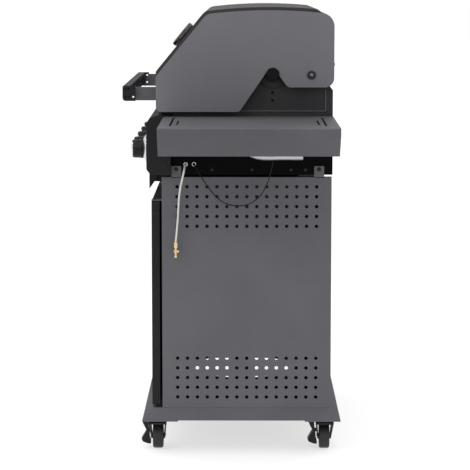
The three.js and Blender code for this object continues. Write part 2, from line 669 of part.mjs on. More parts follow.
// A swivelling fork about the caster's upright axis, with its legs leaning out towards the top.
function casterFork(x, y, withLug) {
  const { trail, radius, width, axle } = CASTER;
  const ax = x - trail;
  const inside = width / 2 + 1.5;
  const legOutline = rounded([
    [ax - 9, radius - 9, 8], [ax + 9, radius - 9, 8], [x + 20, 71], [x + 20, 77], [ax - 2, 77],
    [ax - 12, 60, 6],
  ]);
  const legs = [0, 1].map((other) => {
    const plate = prism("y", legOutline, [inside, inside + 4]);
    const leant = shear(plate, 0.11, radius);
    return (other ? leant.mirror([0, 1, 0]) : leant).translate([0, y, 0]);
  });
  const parts = [
    ...legs,
    box([ax - 2, x + 20], [y - 22.5, y + 22.5], [71, 77]),
    rod("z", 21, [76, BASE.gusset - GAP], [x, y, 0], 20),
    rod("y", axle, [y - inside - 3, y + inside + 3], [ax, 0, radius], 12),
  ];
  if (withLug) {
    parts.push(
      box([ax - 4, ax + 4], [y - 28, y - inside - 2], [43, 51]),
      rod("x", 2, [ax - 9.5, ax + 9.5], [0, y - 25, 47], 10),
    );
  }
  return join(...parts);
}

// A solid leant outwards in Y as it rises above height z.
function shear(body, slope, z) {
  return body.warp((v) => { v[1] += slope * (v[2] - z); });
}

function casterWheel(x, y) {
  const { trail, radius, width, axle } = CASTER;
  const h = width / 2;
  const r = 5;
  const profile = [
    [axle + 0.4, -h], [radius - r, -h], [radius - 1.5, -h + 1.5], [radius, -h + r],
    [radius, h - r], [radius - 1.5, h - 1.5], [radius - r, h], [axle + 0.4, h], [axle + 0.4, -h],
  ];
  return turned("y", profile, [x - trail, y, radius], 28);
}

// A brake rocker beside the fork: two pads, with a waist on the fork's pin.
function brakeLever(x, y) {
  const ax = x - CASTER.trail;
  const side = [
    [-26, 82], [-38, 80], [-41.5, 72], [-38, 64], [-29.5, 47], [-37, 36], [-43, 26], [-40, 18],
    [-28, 13], [-18.5, 12], [-18.5, 20], [-21.5, 30], [-22.5, 47], [-25, 58],
  ].map(([a, z]) => [y + a, z]);
  return cut(
    prism("x", side, [ax - 11, ax + 11]),
    box([ax - 5.2, ax + 5.2], [y - 30.5, y - 15], [39, 55]),
    rod("x", 2.5, [ax - 10, ax + 10], [0, y - 25, 47], 10),
  );
}

// ---- Assembly --------------------------------------------------------------------------------

add("base_tray", baseTray(), "coated");
add("rear_panel", rearPanel(), "coated");
add("front_header", frontHeader(), "black");
add("firebox", firebox(), "black");
add("control_panel", controlPanel(), "black");
add("gas_manifold", gasManifold(), "steel");
add("grease_tray", greaseTray(), "black");
add("warming_rack", warmingRack(), "steel");
add("lid_skin", lidSkin(), "enamel");
add("lid_handle", handleBar(), "black");
add("lid_thermometer", thermometer(), "steel");
add("right_shelf", rightShelf(), "coated");
add("left_shelf", mirrored(shelfPan()), "coated");
add("side_burner", sideBurner(), "steel");
add("side_burner_grate", sideBurnerGrate(), "iron");
add("side_burner_lid", sideBurnerLid(), "coated");
add("side_burner_gas_tube", lead(GAS_TUBE_ROUTE, GAS_TUBE.diameter, 8, 10), "aluminium");
add("gas_tube_fitting", gasFitting(), "brass");
add("igniter_wire", lead(WIRE_ROUTE, WIRE.diameter, 8, 7.5), "rubber");
add("cooking_grate_left", cookingGrate(-347, -GAP), "iron");
add("cooking_grate_right", cookingGrate(GAP, 347), "iron");

Object.entries(SIDES).forEach(([side, place]) => {
  add(`${side}_side_panel`, place(sidePanel()), "coated");
  add(`${side}_door`, place(door()), "black");
  add(`lid_cap_${side}`, place(lidCap()), "coated");
  add(`handle_bracket_${side}`, place(handleBracket()), "coated");
  add(`lid_pivot_bolt_${side}`, place(pivotBolt()), "black");
  add(`spit_plug_${side}`, place(spitPlug()), "plastic");
});

MAIN_BURNER_X.forEach((x, i) => {
  add(`burner_${i + 1}`, burner(x), "steel");
  add(`flame_tamer_${i + 1}`, flameTamer(x), "steel");
});

[...MAIN_BURNER_X, SIDE_VALVE_X].forEach((x, i) => add(`knob_${i + 1}`, knob(x), "plastic"));

[["right", 1], ["left", -1]].forEach(([side, s]) => {
  [["front", CASTER.front], ["back", CASTER.back]].forEach(([end, y]) => {
    const name = `${end}_${side}`;
    const x = s * CASTER.x;
    add(`caster_fork_${name}`, casterFork(x, y, s > 0), "black");
    add(`caster_wheel_${name}`, casterWheel(x, y), "rubber");
    if (s > 0) add(`brake_lever_${name}`, brakeLever(x, y), "plastic");
  });
});

export default grill;
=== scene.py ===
"""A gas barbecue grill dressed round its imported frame. Metres, +Z up, -Y is the grill's front."""
import math

import bmesh
import bpy
from mathutils import Matrix, Vector


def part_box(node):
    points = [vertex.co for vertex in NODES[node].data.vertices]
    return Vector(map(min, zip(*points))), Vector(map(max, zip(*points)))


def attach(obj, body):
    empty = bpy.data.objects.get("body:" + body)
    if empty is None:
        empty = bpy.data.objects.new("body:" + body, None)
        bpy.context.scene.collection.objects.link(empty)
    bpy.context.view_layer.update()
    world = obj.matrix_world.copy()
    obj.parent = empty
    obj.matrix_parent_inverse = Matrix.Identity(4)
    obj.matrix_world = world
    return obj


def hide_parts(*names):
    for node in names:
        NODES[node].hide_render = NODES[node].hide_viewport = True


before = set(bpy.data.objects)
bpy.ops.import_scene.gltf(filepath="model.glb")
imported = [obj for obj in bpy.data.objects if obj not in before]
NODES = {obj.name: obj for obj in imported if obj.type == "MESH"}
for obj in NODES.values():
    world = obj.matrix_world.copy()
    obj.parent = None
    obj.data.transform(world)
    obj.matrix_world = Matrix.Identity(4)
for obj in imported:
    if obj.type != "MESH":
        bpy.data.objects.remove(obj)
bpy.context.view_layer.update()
MM = 0.001

# ---- Camera ----------------------------------------------------------------------------------

CAMERA_AT = (4.8307, 0.0283, 1.2)
CAMERA_YAW, CAMERA_PITCH = math.radians(-0.263), math.radians(6.161)

camera_data = bpy.data.cameras.new("camera")
camera_data.lens = 137.70
camera_data.shift_y = -0.1312
camera_data.sensor_width = 36
camera_data.clip_end = 50
camera = bpy.data.objects.new("camera", camera_data)
bpy.context.scene.collection.objects.link(camera)
forward = Vector((
    -math.cos(CAMERA_YAW) * math.cos(CAMERA_PITCH),
    math.sin(CAMERA_YAW) * math.cos(CAMERA_PITCH),
    -math.sin(CAMERA_PITCH),
))
camera.rotation_mode = "QUATERNION"
camera.rotation_quaternion = forward.to_track_quat("-Z", "Y")
camera.location = CAMERA_AT
bpy.context.scene.camera = camera
bpy.context.scene.view_settings.view_transform = "Standard"
bpy.context.scene.view_settings.look = "None"


# ---- Materials -------------------------------------------------------------------------------

def linear(rgb):
    """A shader colour from its 0 to 255 screen values."""
    def one(c):
        c /= 255
        return c / 12.92 if c <= 0.04045 else ((c + 0.055) / 1.055) ** 2.4
    return (*[one(c) for c in rgb], 1.0)


class Shader:
    """A node material that is built up in steps."""

    def __init__(self, name, metallic=0.0, **sockets):
        self.material = bpy.data.materials.new(name)
        self.material.use_nodes = True
        self.tree = self.material.node_tree
        self.bsdf = self.tree.nodes["Principled BSDF"]
        self.bsdf.inputs["Metallic"].default_value = metallic
        for socket, value in sockets.items():
            self.bsdf.inputs[socket.replace("_", " ")].default_value = value
        self.coords = self.tree.nodes.new("ShaderNodeTexCoord").outputs["Object"]

    def node(self, kind, **values):
        made = self.tree.nodes.new(kind)
        for key, value in values.items():
            if hasattr(made, key):
                setattr(made, key, value)
            else:
                made.inputs[key].default_value = value
        return made

    def link(self, source, target):
        self.tree.links.new(source, target)

    def noise(self, scale, detail=3.0, roughness=0.55, stretch=(1, 1, 1)):
        mapping = self.node("ShaderNodeMapping")
        mapping.inputs["Scale"].default_value = stretch
        self.link(self.coords, mapping.inputs["Vector"])
        texture = self.node("ShaderNodeTexNoise", Scale=scale, Detail=detail, Roughness=roughness)
        self.link(mapping.outputs["Vector"], texture.inputs["Vector"])
        return texture.outputs["Fac"]

    def ramp(self, source, low, high, start=0.3, end=0.7):
        ramp = self.node("ShaderNodeValToRGB")
        ramp.color_ramp.elements[0].position, ramp.color_ramp.elements[1].position = start, end
        ramp.color_ramp.elements[0].color, ramp.color_ramp.elements[1].color = low, high
        self.link(source, ramp.inputs["Fac"])
        return ramp.outputs["Color"]

    def remap(self, source, low, high, start=0.3, end=0.7):
        made = self.node("ShaderNodeMapRange")
        for key, value in (("From Min", start), ("From Max", end), ("To Min", low), ("To Max", high)):
            made.inputs[key].default_value = value
        self.link(source, made.inputs["Value"])
        return made.outputs["Result"]

    def bump(self, source, strength, distance):
        made = self.node("ShaderNodeBump", Strength=strength, Distance=distance)
        if self.bsdf.inputs["Normal"].is_linked:
            self.link(self.bsdf.inputs["Normal"].links[0].from_socket, made.inputs["Normal"])
        self.link(source, made.inputs["Height"])
        self.link(made.outputs["Normal"], self.bsdf.inputs["Normal"])


def coated(name, dark, light, rough, grain=0.22, metallic=0.0, coat=0.0, patch=5.0, gloss=0.3):
    """Powder coat or moulded plastic: mottled colour, uneven gloss, and a fine orange-peel grain."""
    made = Shader(name, metallic, Coat_Weight=coat, Coat_Roughness=0.25, Specular_IOR_Level=gloss)
    broad = made.noise(patch, 4.0)
    made.link(made.ramp(broad, linear(dark), linear(light)), made.bsdf.inputs["Base Color"])
    made.link(made.remap(made.noise(patch * 7, 3.0), rough[0], rough[1]), made.bsdf.inputs["Roughness"])
    made.bump(made.noise(900.0, 2.0), grain, 0.0006)
    return made.material


def metal(name, dark, light, rough, stretch=(1, 1, 1), scale=300.0, strength=0.12):
    """Bare metal with fine drawn or turned marks along one direction."""
    made = Shader(name, 1.0)
    streaks = made.noise(scale, 3.0, 0.6, stretch)
    made.link(made.ramp(streaks, linear(dark), linear(light)), made.bsdf.inputs["Base Color"])
    made.link(made.remap(made.noise(20.0, 3.0), rough[0], rough[1]), made.bsdf.inputs["Roughness"])
    made.bump(streaks, strength, 0.0002)
    return made.material


def cast(name, dark, light):
    """Seasoned cast iron: dark, patchy and pitted."""
    made = Shader(name, 0.3)
    patches = made.noise(30.0, 5.0, 0.65)
    made.link(made.ramp(patches, linear(dark), linear(light)), made.bsdf.inputs["Base Color"])
    made.link(made.remap(made.noise(60.0, 3.0), 0.5, 0.75), made.bsdf.inputs["Roughness"])
    made.bump(made.noise(260.0, 4.0, 0.7), 0.5, 0.0008)
    return made.material


GREY = coated("grey_powder_coat", (82, 81, 86), (89, 88, 93), (0.5, 0.6), gloss=0.25)
GREY_CAP = coated("lid_cap_coat", (92, 92, 97), (99, 99, 104), (0.46, 0.56), gloss=0.28)
WARM = coated("lid_enamel", (50, 45, 47), (58, 53, 55), (0.54, 0.64), 0.1, gloss=0.13)
GREY_SHELF = coated("shelf_powder_coat", (73, 72, 77), (80, 79, 84), (0.5, 0.6), gloss=0.25)
GREY_BASE = coated("base_powder_coat", (87, 86, 91), (94, 93, 98), (0.8, 0.9), gloss=0.03)
DARK_CHROME = metal("smoked_chrome", (66, 62, 62), (92, 88, 88), (0.12, 0.2), strength=0.02)
DARK = coated("black_textured_coat", (25, 24, 26), (33, 32, 34), (0.5, 0.62), 0.4, gloss=0.12)
PLASTIC = coated("black_moulded_plastic", (8, 8, 9), (15, 15, 17), (0.34, 0.46), 0.15, gloss=0.08)
PLASTIC_GLOSS = coated("caster_plastic", (10, 10, 12), (16, 16, 18), (0.2, 0.3), 0.08, coat=0.12, gloss=0.2)
KNOB = coated("knob_plastic", (14, 14, 16), (20, 20, 23), (0.28, 0.38), 0.1, coat=0.08, gloss=0.15)
RUBBER = coated("tyre_rubber", (30, 30, 32), (44, 44, 46), (0.4, 0.55), 0.35, patch=14.0, gloss=0.3)
HUB = coated("wheel_core", (34, 34, 37), (48, 48, 52), (0.4, 0.55), 0.15, gloss=0.25)
STEEL = metal("bare_steel", (150, 152, 155), (186, 188, 191), (0.24, 0.36), (1, 1, 12))
CHROME = metal("bright_chrome", (190, 192, 195), (214, 216, 219), (0.07, 0.13), strength=0.02)
ZINC = metal("zinc_screw", (92, 93, 96), (132, 133, 136), (0.25, 0.38), scale=700.0)
DARK_SCREW = coated("blackened_screw", (18, 18, 20), (34, 34, 37), (0.3, 0.42), 0.2, gloss=0.25)
BRASS = metal("turned_brass", (196, 168, 124), (226, 204, 166), (0.22, 0.34), (1, 1, 10))
TUBE = coated("drawn_aluminium", (196, 192, 182), (222, 218, 208), (0.36, 0.5), 0.15, metallic=0.35)
CABLE = coated("cable_jacket", (14, 14, 16), (24, 24, 26), (0.42, 0.55), 0.2, patch=30.0, gloss=0.15)
IRON = cast("seasoned_iron", (34, 33, 33), (56, 54, 53))
DIAL = coated("dial_face", (214, 214, 210), (230, 230, 226), (0.35, 0.45), 0.05)


def firebox_enamel_with_painted_shade():
    """Black enamel over the casting, with painted shade: below the shelves it is painted blacker and duller,
    for the shadow the shelves cast.
    """
    made = Shader("firebox_enamel_with_painted_shade", Specular_IOR_Level=0.06)
    separate = made.node("ShaderNodeSeparateXYZ")
    made.link(made.coords, separate.inputs["Vector"])
    # painted shade: from Z 0.87 down to 0.79 the colour fades to near black, for the shadow under the shelves
    height = made.remap(separate.outputs["Z"], 0.0, 1.0, 0.79, 0.87)
    mottle = made.ramp(made.noise(5.0, 4.0), linear((48, 47, 49)), linear((57, 56, 57)))
    mix = made.node("ShaderNodeMix", data_type="RGBA")
    made.link(height, mix.inputs["Factor"])
    made.link(mottle, mix.inputs[7])
    # the near-black colour of the painted shade below the shelves
    mix.inputs[6].default_value = linear((2, 2, 2))
    made.link(mix.outputs[2], made.bsdf.inputs["Base Color"])
    made.link(made.remap(made.noise(35.0, 3.0), 0.52, 0.66), made.bsdf.inputs["Roughness"])
    made.bump(made.noise(900.0, 2.0), 0.3, 0.0006)
    return made.material


FIREBOX = firebox_enamel_with_painted_shade()

CAD_LOOKS = {
    GREY: ("rear_panel",),
    GREY_BASE: ("base_tray",),
    DARK: ("front_header", "right_door", "left_door"),
    FIREBOX: ("firebox",),
    STEEL: (
        "gas_manifold", "side_burner", *[f"burner_{i}" for i in (1, 2, 3, 4)],
        *[f"flame_tamer_{i}" for i in (1, 2, 3, 4)],
    ),
    CHROME: ("warming_rack",),
    IRON: ("cooking_grate_left", "cooking_grate_right", "side_burner_grate"),
}
for look, names in CAD_LOOKS.items():
    for name in names:
        NODES[name].data.materials.clear()
        NODES[name].data.materials.append(look)


# ---- Building helpers ------------------------------------------------------------------------

def finish_piece(name, bm, look, body, replaces=(), smooth=30, bevel=0.0, segments=2):
    """A mesh object from bm, smooth except across edges sharper than smooth degrees."""
    bmesh.ops.remove_doubles(bm, verts=bm.verts, dist=1e-6)
    bmesh.ops.recalc_face_normals(bm, faces=bm.faces)
    for face in bm.faces:
        face.smooth = True
    for edge in bm.edges:
        edge.smooth = len(edge.link_faces) == 2 and edge.calc_face_angle(0) < math.radians(smooth)
    data = bpy.data.meshes.new(name)
    bm.to_mesh(data)
    bm.free()
    data.materials.append(look)
    piece = bpy.data.objects.new(name, data)
    bpy.context.scene.collection.objects.link(piece)
    if bevel:
        add_bevel(piece, bevel, segments)
    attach(piece, body)
    if replaces:
        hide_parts(*replaces)
    return piece


def add_bevel(piece, width, segments=2, angle=32):
    made = piece.modifiers.new("edges", "BEVEL")
    made.width, made.segments = width, segments
    made.limit_method, made.angle_limit = "ANGLE", math.radians(angle)
    made.harden_normals = True


def add_block(bm, corners):
    """Six faces round eight corners, given with the last coordinate changing first."""
    verts = [bm.verts.new(v) for v in corners]
    for q in ((0, 1, 3, 2), (4, 6, 7, 5), (0, 4, 5, 1), (2, 3, 7, 6), (0, 2, 6, 4), (1, 5, 7, 3)):
        bm.faces.new([verts[i] for i in q])


def add_box(bm, x, y, z):
    """A box between pairs of coordinates."""
    add_block(bm, [(a, b, c) for a in x for b in y for c in z])


def add_prism(bm, outline, x0, x1, place=lambda x, a, b: (x, a, b)):
    """A prism along X from an outline of (y, z). place maps it to another axis."""
    ends = [[bm.verts.new(place(x, a, b)) for a, b in outline] for x in (x0, x1)]
    n = len(outline)
    for i in range(n):
        j = (i + 1) % n
        bm.faces.new((ends[0][i], ends[0][j], ends[1][j], ends[1][i]))
    bm.faces.new(ends[0][::-1])
    bm.faces.new(ends[1])


def turn(profile, at, axis="Z", sides=32, flip=False):
    """Rings of a turned shape: profile holds (radius, distance along the axis)."""
    bm = bmesh.new()
    spin_into(bm, profile, at, axis, sides, flip)
    return bm


def axis_frame(axis, flip=False):
    spin = {
        "X": Matrix.Rotation(math.pi / 2, 3, "Y"),
        "Y": Matrix.Rotation(-math.pi / 2, 3, "X"),
        "Z": Matrix.Identity(3),
    }[axis] if isinstance(axis, str) else axis
    return spin @ Matrix.Rotation(math.pi, 3, "X") if flip else spin


def spin_into(bm, profile, at, axis="Z", sides=32, flip=False):
    spin = axis_frame(axis, flip)
    rings = []
    for radius, distance in profile:
        count = 1 if radius < 1e-9 else sides
        rings.append([
            bm.verts.new(Vector(at) + spin @ Vector((
                radius * math.cos(2 * math.pi * i / sides),
                radius * math.sin(2 * math.pi * i / sides),
                distance,
            )))
            for i in range(count)
        ])
    for low, high in zip(rings, rings[1:]):
        for i in range(sides):
            j = (i + 1) % sides
            if len(low) == 1 and len(high) == 1:
                continue
            if len(low) == 1:
                bm.faces.new((low[0], high[j], high[i]))
            elif len(high) == 1:
                bm.faces.new((low[i], low[j], high[0]))
            else:
                bm.faces.new((low[i], low[j], high[j], high[i]))


def rounded(corners, step=10):
    """A closed outline with corners (a, b, radius) rounded every step degrees."""
    points = []
    for i, (a, b, radius) in enumerate(corners):
        here = Vector((a, b))
        if not radius:
            points.append((a, b))
            continue
        before = (Vector(corners[i - 1][:2]) - here).normalized()
        after = (Vector(corners[(i + 1) % len(corners)][:2]) - here).normalized()
        half = math.acos(max(-1, min(1, before.dot(after)))) / 2
        centre = here + (before + after).normalized() * (radius / math.sin(half))
        start = here + before * (radius / math.tan(half)) - centre
        sweep = math.pi - 2 * half
        offset = here - centre
        sense = math.copysign(1, start.x * offset.y - start.y * offset.x)
        steps = max(2, math.ceil(math.degrees(sweep) / step))
        for k in range(steps + 1):
            t = sense * sweep * k / steps
            points.append((
                centre.x + start.x * math.cos(t) - start.y * math.sin(t),
                centre.y + start.x * math.sin(t) + start.y * math.cos(t),
            ))
    return points


def screw_head(name, at, radius, body, look, axis="X", flip=False):
    """A pan head with a cross recess, its flat back at a point."""
    spin = axis_frame(axis, flip)
    arm, half = radius * 0.5, radius * 0.1
    lean = math.degrees(math.atan2(half, arm))
    angles = [90 * q + a for q in range(4) for a in (-lean, 0, lean, 22.5, 45, 67.5)]

    def cross(angle):
        off = math.radians(abs((angle + 45) % 90 - 45))
        return arm / math.cos(off) if off <= math.radians(lean) + 1e-6 else half / math.sin(off)

    bm = bmesh.new()
    rings = []
    for reach, height in ((1, 0), (1, 0.18), (0.86, 0.38), (0.64, 0.5), (None, 0.5), (None, 0.15)):
        ring = []
        for angle in angles:
            r = cross(angle) if reach is None else reach * radius
            t = math.radians(angle)
            place = Vector((r * math.cos(t), r * math.sin(t), height * radius))
            ring.append(bm.verts.new(Vector(at) + spin @ place))
        rings.append(ring)
    for low, high in zip(rings, rings[1:]):
        for i in range(len(angles)):
            j = (i + 1) % len(angles)
            bm.faces.new((low[i], low[j], high[j], high[i]))
    bm.faces.new(rings[0][::-1])
    bm.faces.new(rings[-1])
    finish_piece(name, bm, look, body)


# ---- Cords -----------------------------------------------------------------------------------

GAS_TUBE_ROUTE = [
    (352.4, -116, 739), (361, -116, 739), (369, -116.5, 738), (376, -117.5, 733.5),
    (380.5, -119, 726), (382, -121, 717), (381.5, -123, 708), (380, -125.5, 697),
    (378.5, -128, 685), (377, -130, 672), (375.5, -132, 658), (374, -133, 643),
    (373, -134, 627), (372, -135, 611), (371.5, -136, 595), (371, -137.5, 579),
    (370.5, -139, 563), (370, -140.8, 545),
]
WIRE_ROUTE = [
    (352.4, -95, 739.5), (358, -95, 739.5), (364, -93, 736.5), (368, -88, 729), (370, -80, 716),
    (371, -72, 703), (372, -62, 688), (373, -50, 672), (375, -36, 657), (378, -20, 646),
    (381, -2, 640), (385, 16, 638.5), (389, 34, 641), (394, 50, 648), (400, 64, 659),
    (407, 76, 674), (415, 85, 692), (423, 92, 711), (431, 97, 731), (439, 101, 752),
    (446, 103.5, 772), (450, 105, 786), (453, 105.5, 799.2),
]


def catmull(route, per=8):
    """Points along the centripetal Catmull-Rom curve through a route, in metres."""
    p = [Vector(q) * MM for q in route]
    p = [p[0] * 2 - p[1], *p, p[-1] * 2 - p[-2]]
    out = []
    for i in range(1, len(p) - 2):
        knots = [0.0]
        for a, b in zip(p[i - 1:i + 2], p[i:i + 3]):
            knots.append(knots[-1] + (b - a).length ** 0.5)
        for k in range(per):
            t = knots[1] + (knots[2] - knots[1]) * k / per
            a = [
                p[i - 1 + j] * ((knots[j + 1] - t) / (knots[j + 1] - knots[j]))
                + p[i + j] * ((t - knots[j]) / (knots[j + 1] - knots[j]))
                for j in range(3)
            ]
            b = [
                a[j] * ((knots[j + 2] - t) / (knots[j + 2] - knots[j]))
                + a[j + 1] * ((t - knots[j]) / (knots[j + 2] - knots[j]))
                for j in range(2)
            ]
            out.append(
                b[0] * ((knots[2] - t) / (knots[2] - knots[1]))
                + b[1] * ((t - knots[1]) / (knots[2] - knots[1]))
            )
    out.append(p[-2])
    return out


def lead(name, route, diameter, look, node):
    curve = bpy.data.curves.new(name, "CURVE")
    curve.dimensions = "3D"
    curve.bevel_depth, curve.bevel_resolution = diameter / 2, 4
    curve.use_fill_caps = True
    points = catmull(route, 4)
    spline = curve.splines.new("POLY")
    spline.points.add(len(points) - 1)
    for point, place in zip(spline.points, points):
        point.co = (*place, 1)
    curve.materials.append(look)
    piece = bpy.data.objects.new(name, curve)
    bpy.context.scene.collection.objects.link(piece)
    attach(piece, "grill")
    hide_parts(node)


def gas_fitting():
    """A hexagon nut on a flare, a winged collar and a drilled orifice spud."""
    x, y, z = (v * MM for v in GAS_TUBE_ROUTE[-1])
    top = z - 0.4 * MM
    bm = bmesh.new()
    spin_into(bm, [(0, 0), (0.0042, 0), (0.0048, -0.001), (0.0048, -0.0135), (0.0042, -0.0145),
                   (0, -0.0145)], (x, y, top), sides=6)
    spin_into(bm, [(0, -0.0144), (0.003, -0.0144), (0.003, -0.0205), (0.0036, -0.021),
                   (0.0036, -0.0245), (0.003, -0.025), (0.003, -0.033), (0.0039, -0.0336),
                   (0.0039, -0.038), (0.003, -0.0395), (0.0012, -0.0395), (0.0012, -0.036),
                   (0, -0.036)], (x, y, top), sides=20)
    add_box(bm, (x - 0.0019, x + 0.0019), (y - 0.0049, y + 0.0079), (top - 0.0258, top - 0.0202))
    return finish_piece("orifice_fitting", bm, BRASS, "grill", ("gas_tube_fitting",), 30, 0.0003)


fitting = gas_fitting()
lead("gas_tube", GAS_TUBE_ROUTE, 0.005, TUBE, "side_burner_gas_tube")
lead("igniter_lead", WIRE_ROUTE, 0.0025, CABLE, "igniter_wire")


# ---- Cabinet ---------------------------------------------------------------------------------

HOLE_PITCH, HOLE_RADIUS, HOLE_SIDES = 0.025, 0.0045, 20
HOLE_FIRST_Y, HOLE_COLUMNS, HOLE_ROWS = -0.1376, 15, 5
HOLE_BLOCKS_Z = (0.146, 0.583)
SHEET = 0.002
PANEL_X, PANEL_TOP = 0.355, 0.707
TAB_FRONTS, TAB_WIDTH, TAB_TOP, TAB_CORNER = (-0.152, 0.206), 0.025, 0.735, 0.0025


def holed_cell(bm, y0, y1, z0, z1, x):
    """A square of sheet with a round hole in its middle."""
    corners = [bm.verts.new((x, a, b)) for a, b in ((y0, z0), (y1, z0), (y1, z1), (y0, z1))]
    cy, cz = (y0 + y1) / 2, (z0 + z1) / 2
    n = HOLE_SIDES // 4
    ring = []
    for i in range(HOLE_SIDES):
        t = math.radians(-135) + 2 * math.pi * i / HOLE_SIDES
        ring.append(bm.verts.new((x, cy + HOLE_RADIUS * math.cos(t), cz + HOLE_RADIUS * math.sin(t))))
    for q in range(4):
        arc = [ring[(q * n + i) % HOLE_SIDES] for i in range(n + 1)]
        bm.faces.new((corners[q], corners[(q + 1) % 4], *arc[::-1]))


def side_panel(side, s):
    """A folded panel: its face and four edges as one surface, thickened inward by the sheet."""
    low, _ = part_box(f"{side}_side_panel")
    x = s * PANEL_X
    front, back, bottom, top = -0.176, 0.25, low.z, PANEL_TOP
    half = HOLE_PITCH / 2
    ys = [HOLE_FIRST_Y - half + HOLE_PITCH * i for i in range(HOLE_COLUMNS + 1)]
    blocks = [[z - half + HOLE_PITCH * i for i in range(HOLE_ROWS + 1)] for z in HOLE_BLOCKS_Z]
    zs = [bottom, *blocks[0], *blocks[1], top]
    ally = [front, *ys, back]
    bm = bmesh.new()
    for j, (z0, z1) in enumerate(zip(zs, zs[1:])):
        in_block = 1 <= j <= HOLE_ROWS or s > 0 and HOLE_ROWS + 2 <= j <= 2 * HOLE_ROWS + 1
        for i, (y0, y1) in enumerate(zip(ally, ally[1:])):
            if in_block and 1 <= i <= HOLE_COLUMNS:
                holed_cell(bm, y0, y1, z0, z1, x)
            else:
                bm.faces.new([bm.verts.new((x, a, b)) for a, b in ((y0, z0), (y1, z0), (y1, z1), (y0, z1))])
    depth = s * 0.0195
    for y in (front, back):
        for z0, z1 in zip(zs, zs[1:]):
            bm.faces.new([bm.verts.new(v) for v in (
                (x, y, z0), (x - depth, y, z0), (x - depth, y, z1), (x, y, z1))])
    for z in (bottom, top):
        for y0, y1 in zip(ally, ally[1:]):
            bm.faces.new([bm.verts.new(v) for v in (
                (x, y0, z), (x - depth, y0, z), (x - depth, y1, z), (x, y1, z))])
    bmesh.ops.remove_doubles(bm, verts=bm.verts, dist=1e-6)
    bmesh.ops.recalc_face_normals(bm, faces=bm.faces)
    outward = next(f for f in bm.faces if abs(f.normal.x) > 0.9)
    if outward.normal.x * s < 0:
        bmesh.ops.reverse_faces(bm, faces=bm.faces)
    shell = bmesh.new()
    inner = {}
    for v in bm.verts:
        normals = {tuple(round(c, 3) for c in f.normal) for f in v.link_faces}
        shift = sum((Vector(n) for n in normals), Vector())
        inner[v] = (v.co.copy(), v.co - shift * SHEET)
    made = {v: (shell.verts.new(a), shell.verts.new(b)) for v, (a, b) in inner.items()}
    for f in bm.faces:
        shell.faces.new([made[v][0] for v in f.verts])
        shell.faces.new([made[v][1] for v in reversed(f.verts)])
    for e in bm.edges:
        if len(e.link_faces) == 1:
            a, b = e.verts
            shell.faces.new((made[a][0], made[b][0], made[b][1], made[a][1]))
    bm.free()
    for y in TAB_FRONTS:
        outline = rounded([
            (y, PANEL_TOP - 0.0015, 0), (y + TAB_WIDTH, PANEL_TOP - 0.0015, 0),
            (y + TAB_WIDTH, TAB_TOP, TAB_CORNER), (y, TAB_TOP, TAB_CORNER),
        ])
        add_prism(shell, outline, x - s * SHEET, x)
    add_box(shell, sorted((s * 0.333, s * 0.3549)), (-0.202, -0.1755), (0.648, 0.65))
    finish_piece(f"{side}_perforated_panel", shell, GREY, "grill",
                 (f"{side}_side_panel",), 30)


for side, s in (("right", 1), ("left", -1)):
    side_panel(side, s)
    for i, (y, z) in enumerate(((-0.1395, 0.727), (0.2185, 0.727))):
        screw_head(f"{side}_tab_screw_{i + 1}", (s * 0.3552, y, z), 0.0052, "grill",
                   DARK_SCREW, flip=s < 0)
    for i, y in enumerate((-0.05, 0.05, 0.148, 0.184)):
        screw_head(f"{side}_wall_screw_{i + 1}", (s * 0.3522, y, 0.726), 0.004, "grill",
                   DARK_SCREW, flip=s < 0)


# ---- Lid -------------------------------------------------------------------------------------

LID_HALF, LID_FRONT, LID_BACK = 0.372, -0.189, 0.254
SLOPE = math.radians(50.66)
SLOPE_START, CROWN_BACK, CAP_DROP = 0.9726, 0.212, 0.008
ARCH_TOP, ARCH_Y, ARCH_RADIUS = 1.132, 0.094, 1.282


def arch_z(y, drop):
    return ARCH_TOP - drop - (y - ARCH_Y) ** 2 / (2 * ARCH_RADIUS)


def lid_over(drop, inset=0.0, radii=(0.010, 0.026), crown=False):
    """The lid's outline from its front edge over the slope and arch to its back."""
    rise = math.tan(SLOPE)
    front, back = LID_FRONT + inset, LID_BACK - inset
    start = SLOPE_START + inset * rise - drop * math.hypot(1, rise)
    y = -0.06
    for _ in range(12):
        y = front + (arch_z(y, drop) - start) / rise
    end = CROWN_BACK - inset if crown else back
    arch = [(v, arch_z(v, drop), 0) for v in (y + t * (end - y) / 10 for t in range(1, 10))]
    low = drop + CAP_DROP
    step = [(end, arch_z(end, drop), 0.005), (end + 0.012, arch_z(end + 0.012, low), 0.005)] if crown else []
    heel = (back, arch_z(back, low if crown else drop), 0.034 - inset)
    return [(front, start, radii[0]), (y, arch_z(y, drop), radii[1]), *arch, *step, heel]


def lid_section(inset, radii):
    """The curved sheet's outline, from the front edge round to the foot of the back."""
    return rounded([
        (LID_FRONT + inset, 0.876, 0), *lid_over(inset, inset, radii, True), (LID_BACK - inset, 1.026, 0),
    ], 6)


def lid_shell():
    """The lid's curved sheet with its turned-in end flanges."""
    outer, inner = lid_section(0, (0.010, 0.026)), lid_section(SHEET, (0.008, 0.024))
    rim = lid_section(0.022, (0.002, 0.005))
    near = lid_section(SHEET / 2, (0.009, 0.025))
    bm = bmesh.new()
    add_prism(bm, outer + inner[::-1], -LID_HALF, LID_HALF)
    for s in (-1, 1):
        add_prism(bm, near + rim[::-1], s * (LID_HALF - SHEET), s * (LID_HALF - 0.0001))
    finish_piece("lid_shell", bm, WARM, "lid", ("lid_skin",), 30)


SPIT_Y, SPIT_Z, SPIT_NOTCH = 0.1015, 0.966, 0.016
PIVOT_Y, PIVOT_Z = 0.1976, 0.964


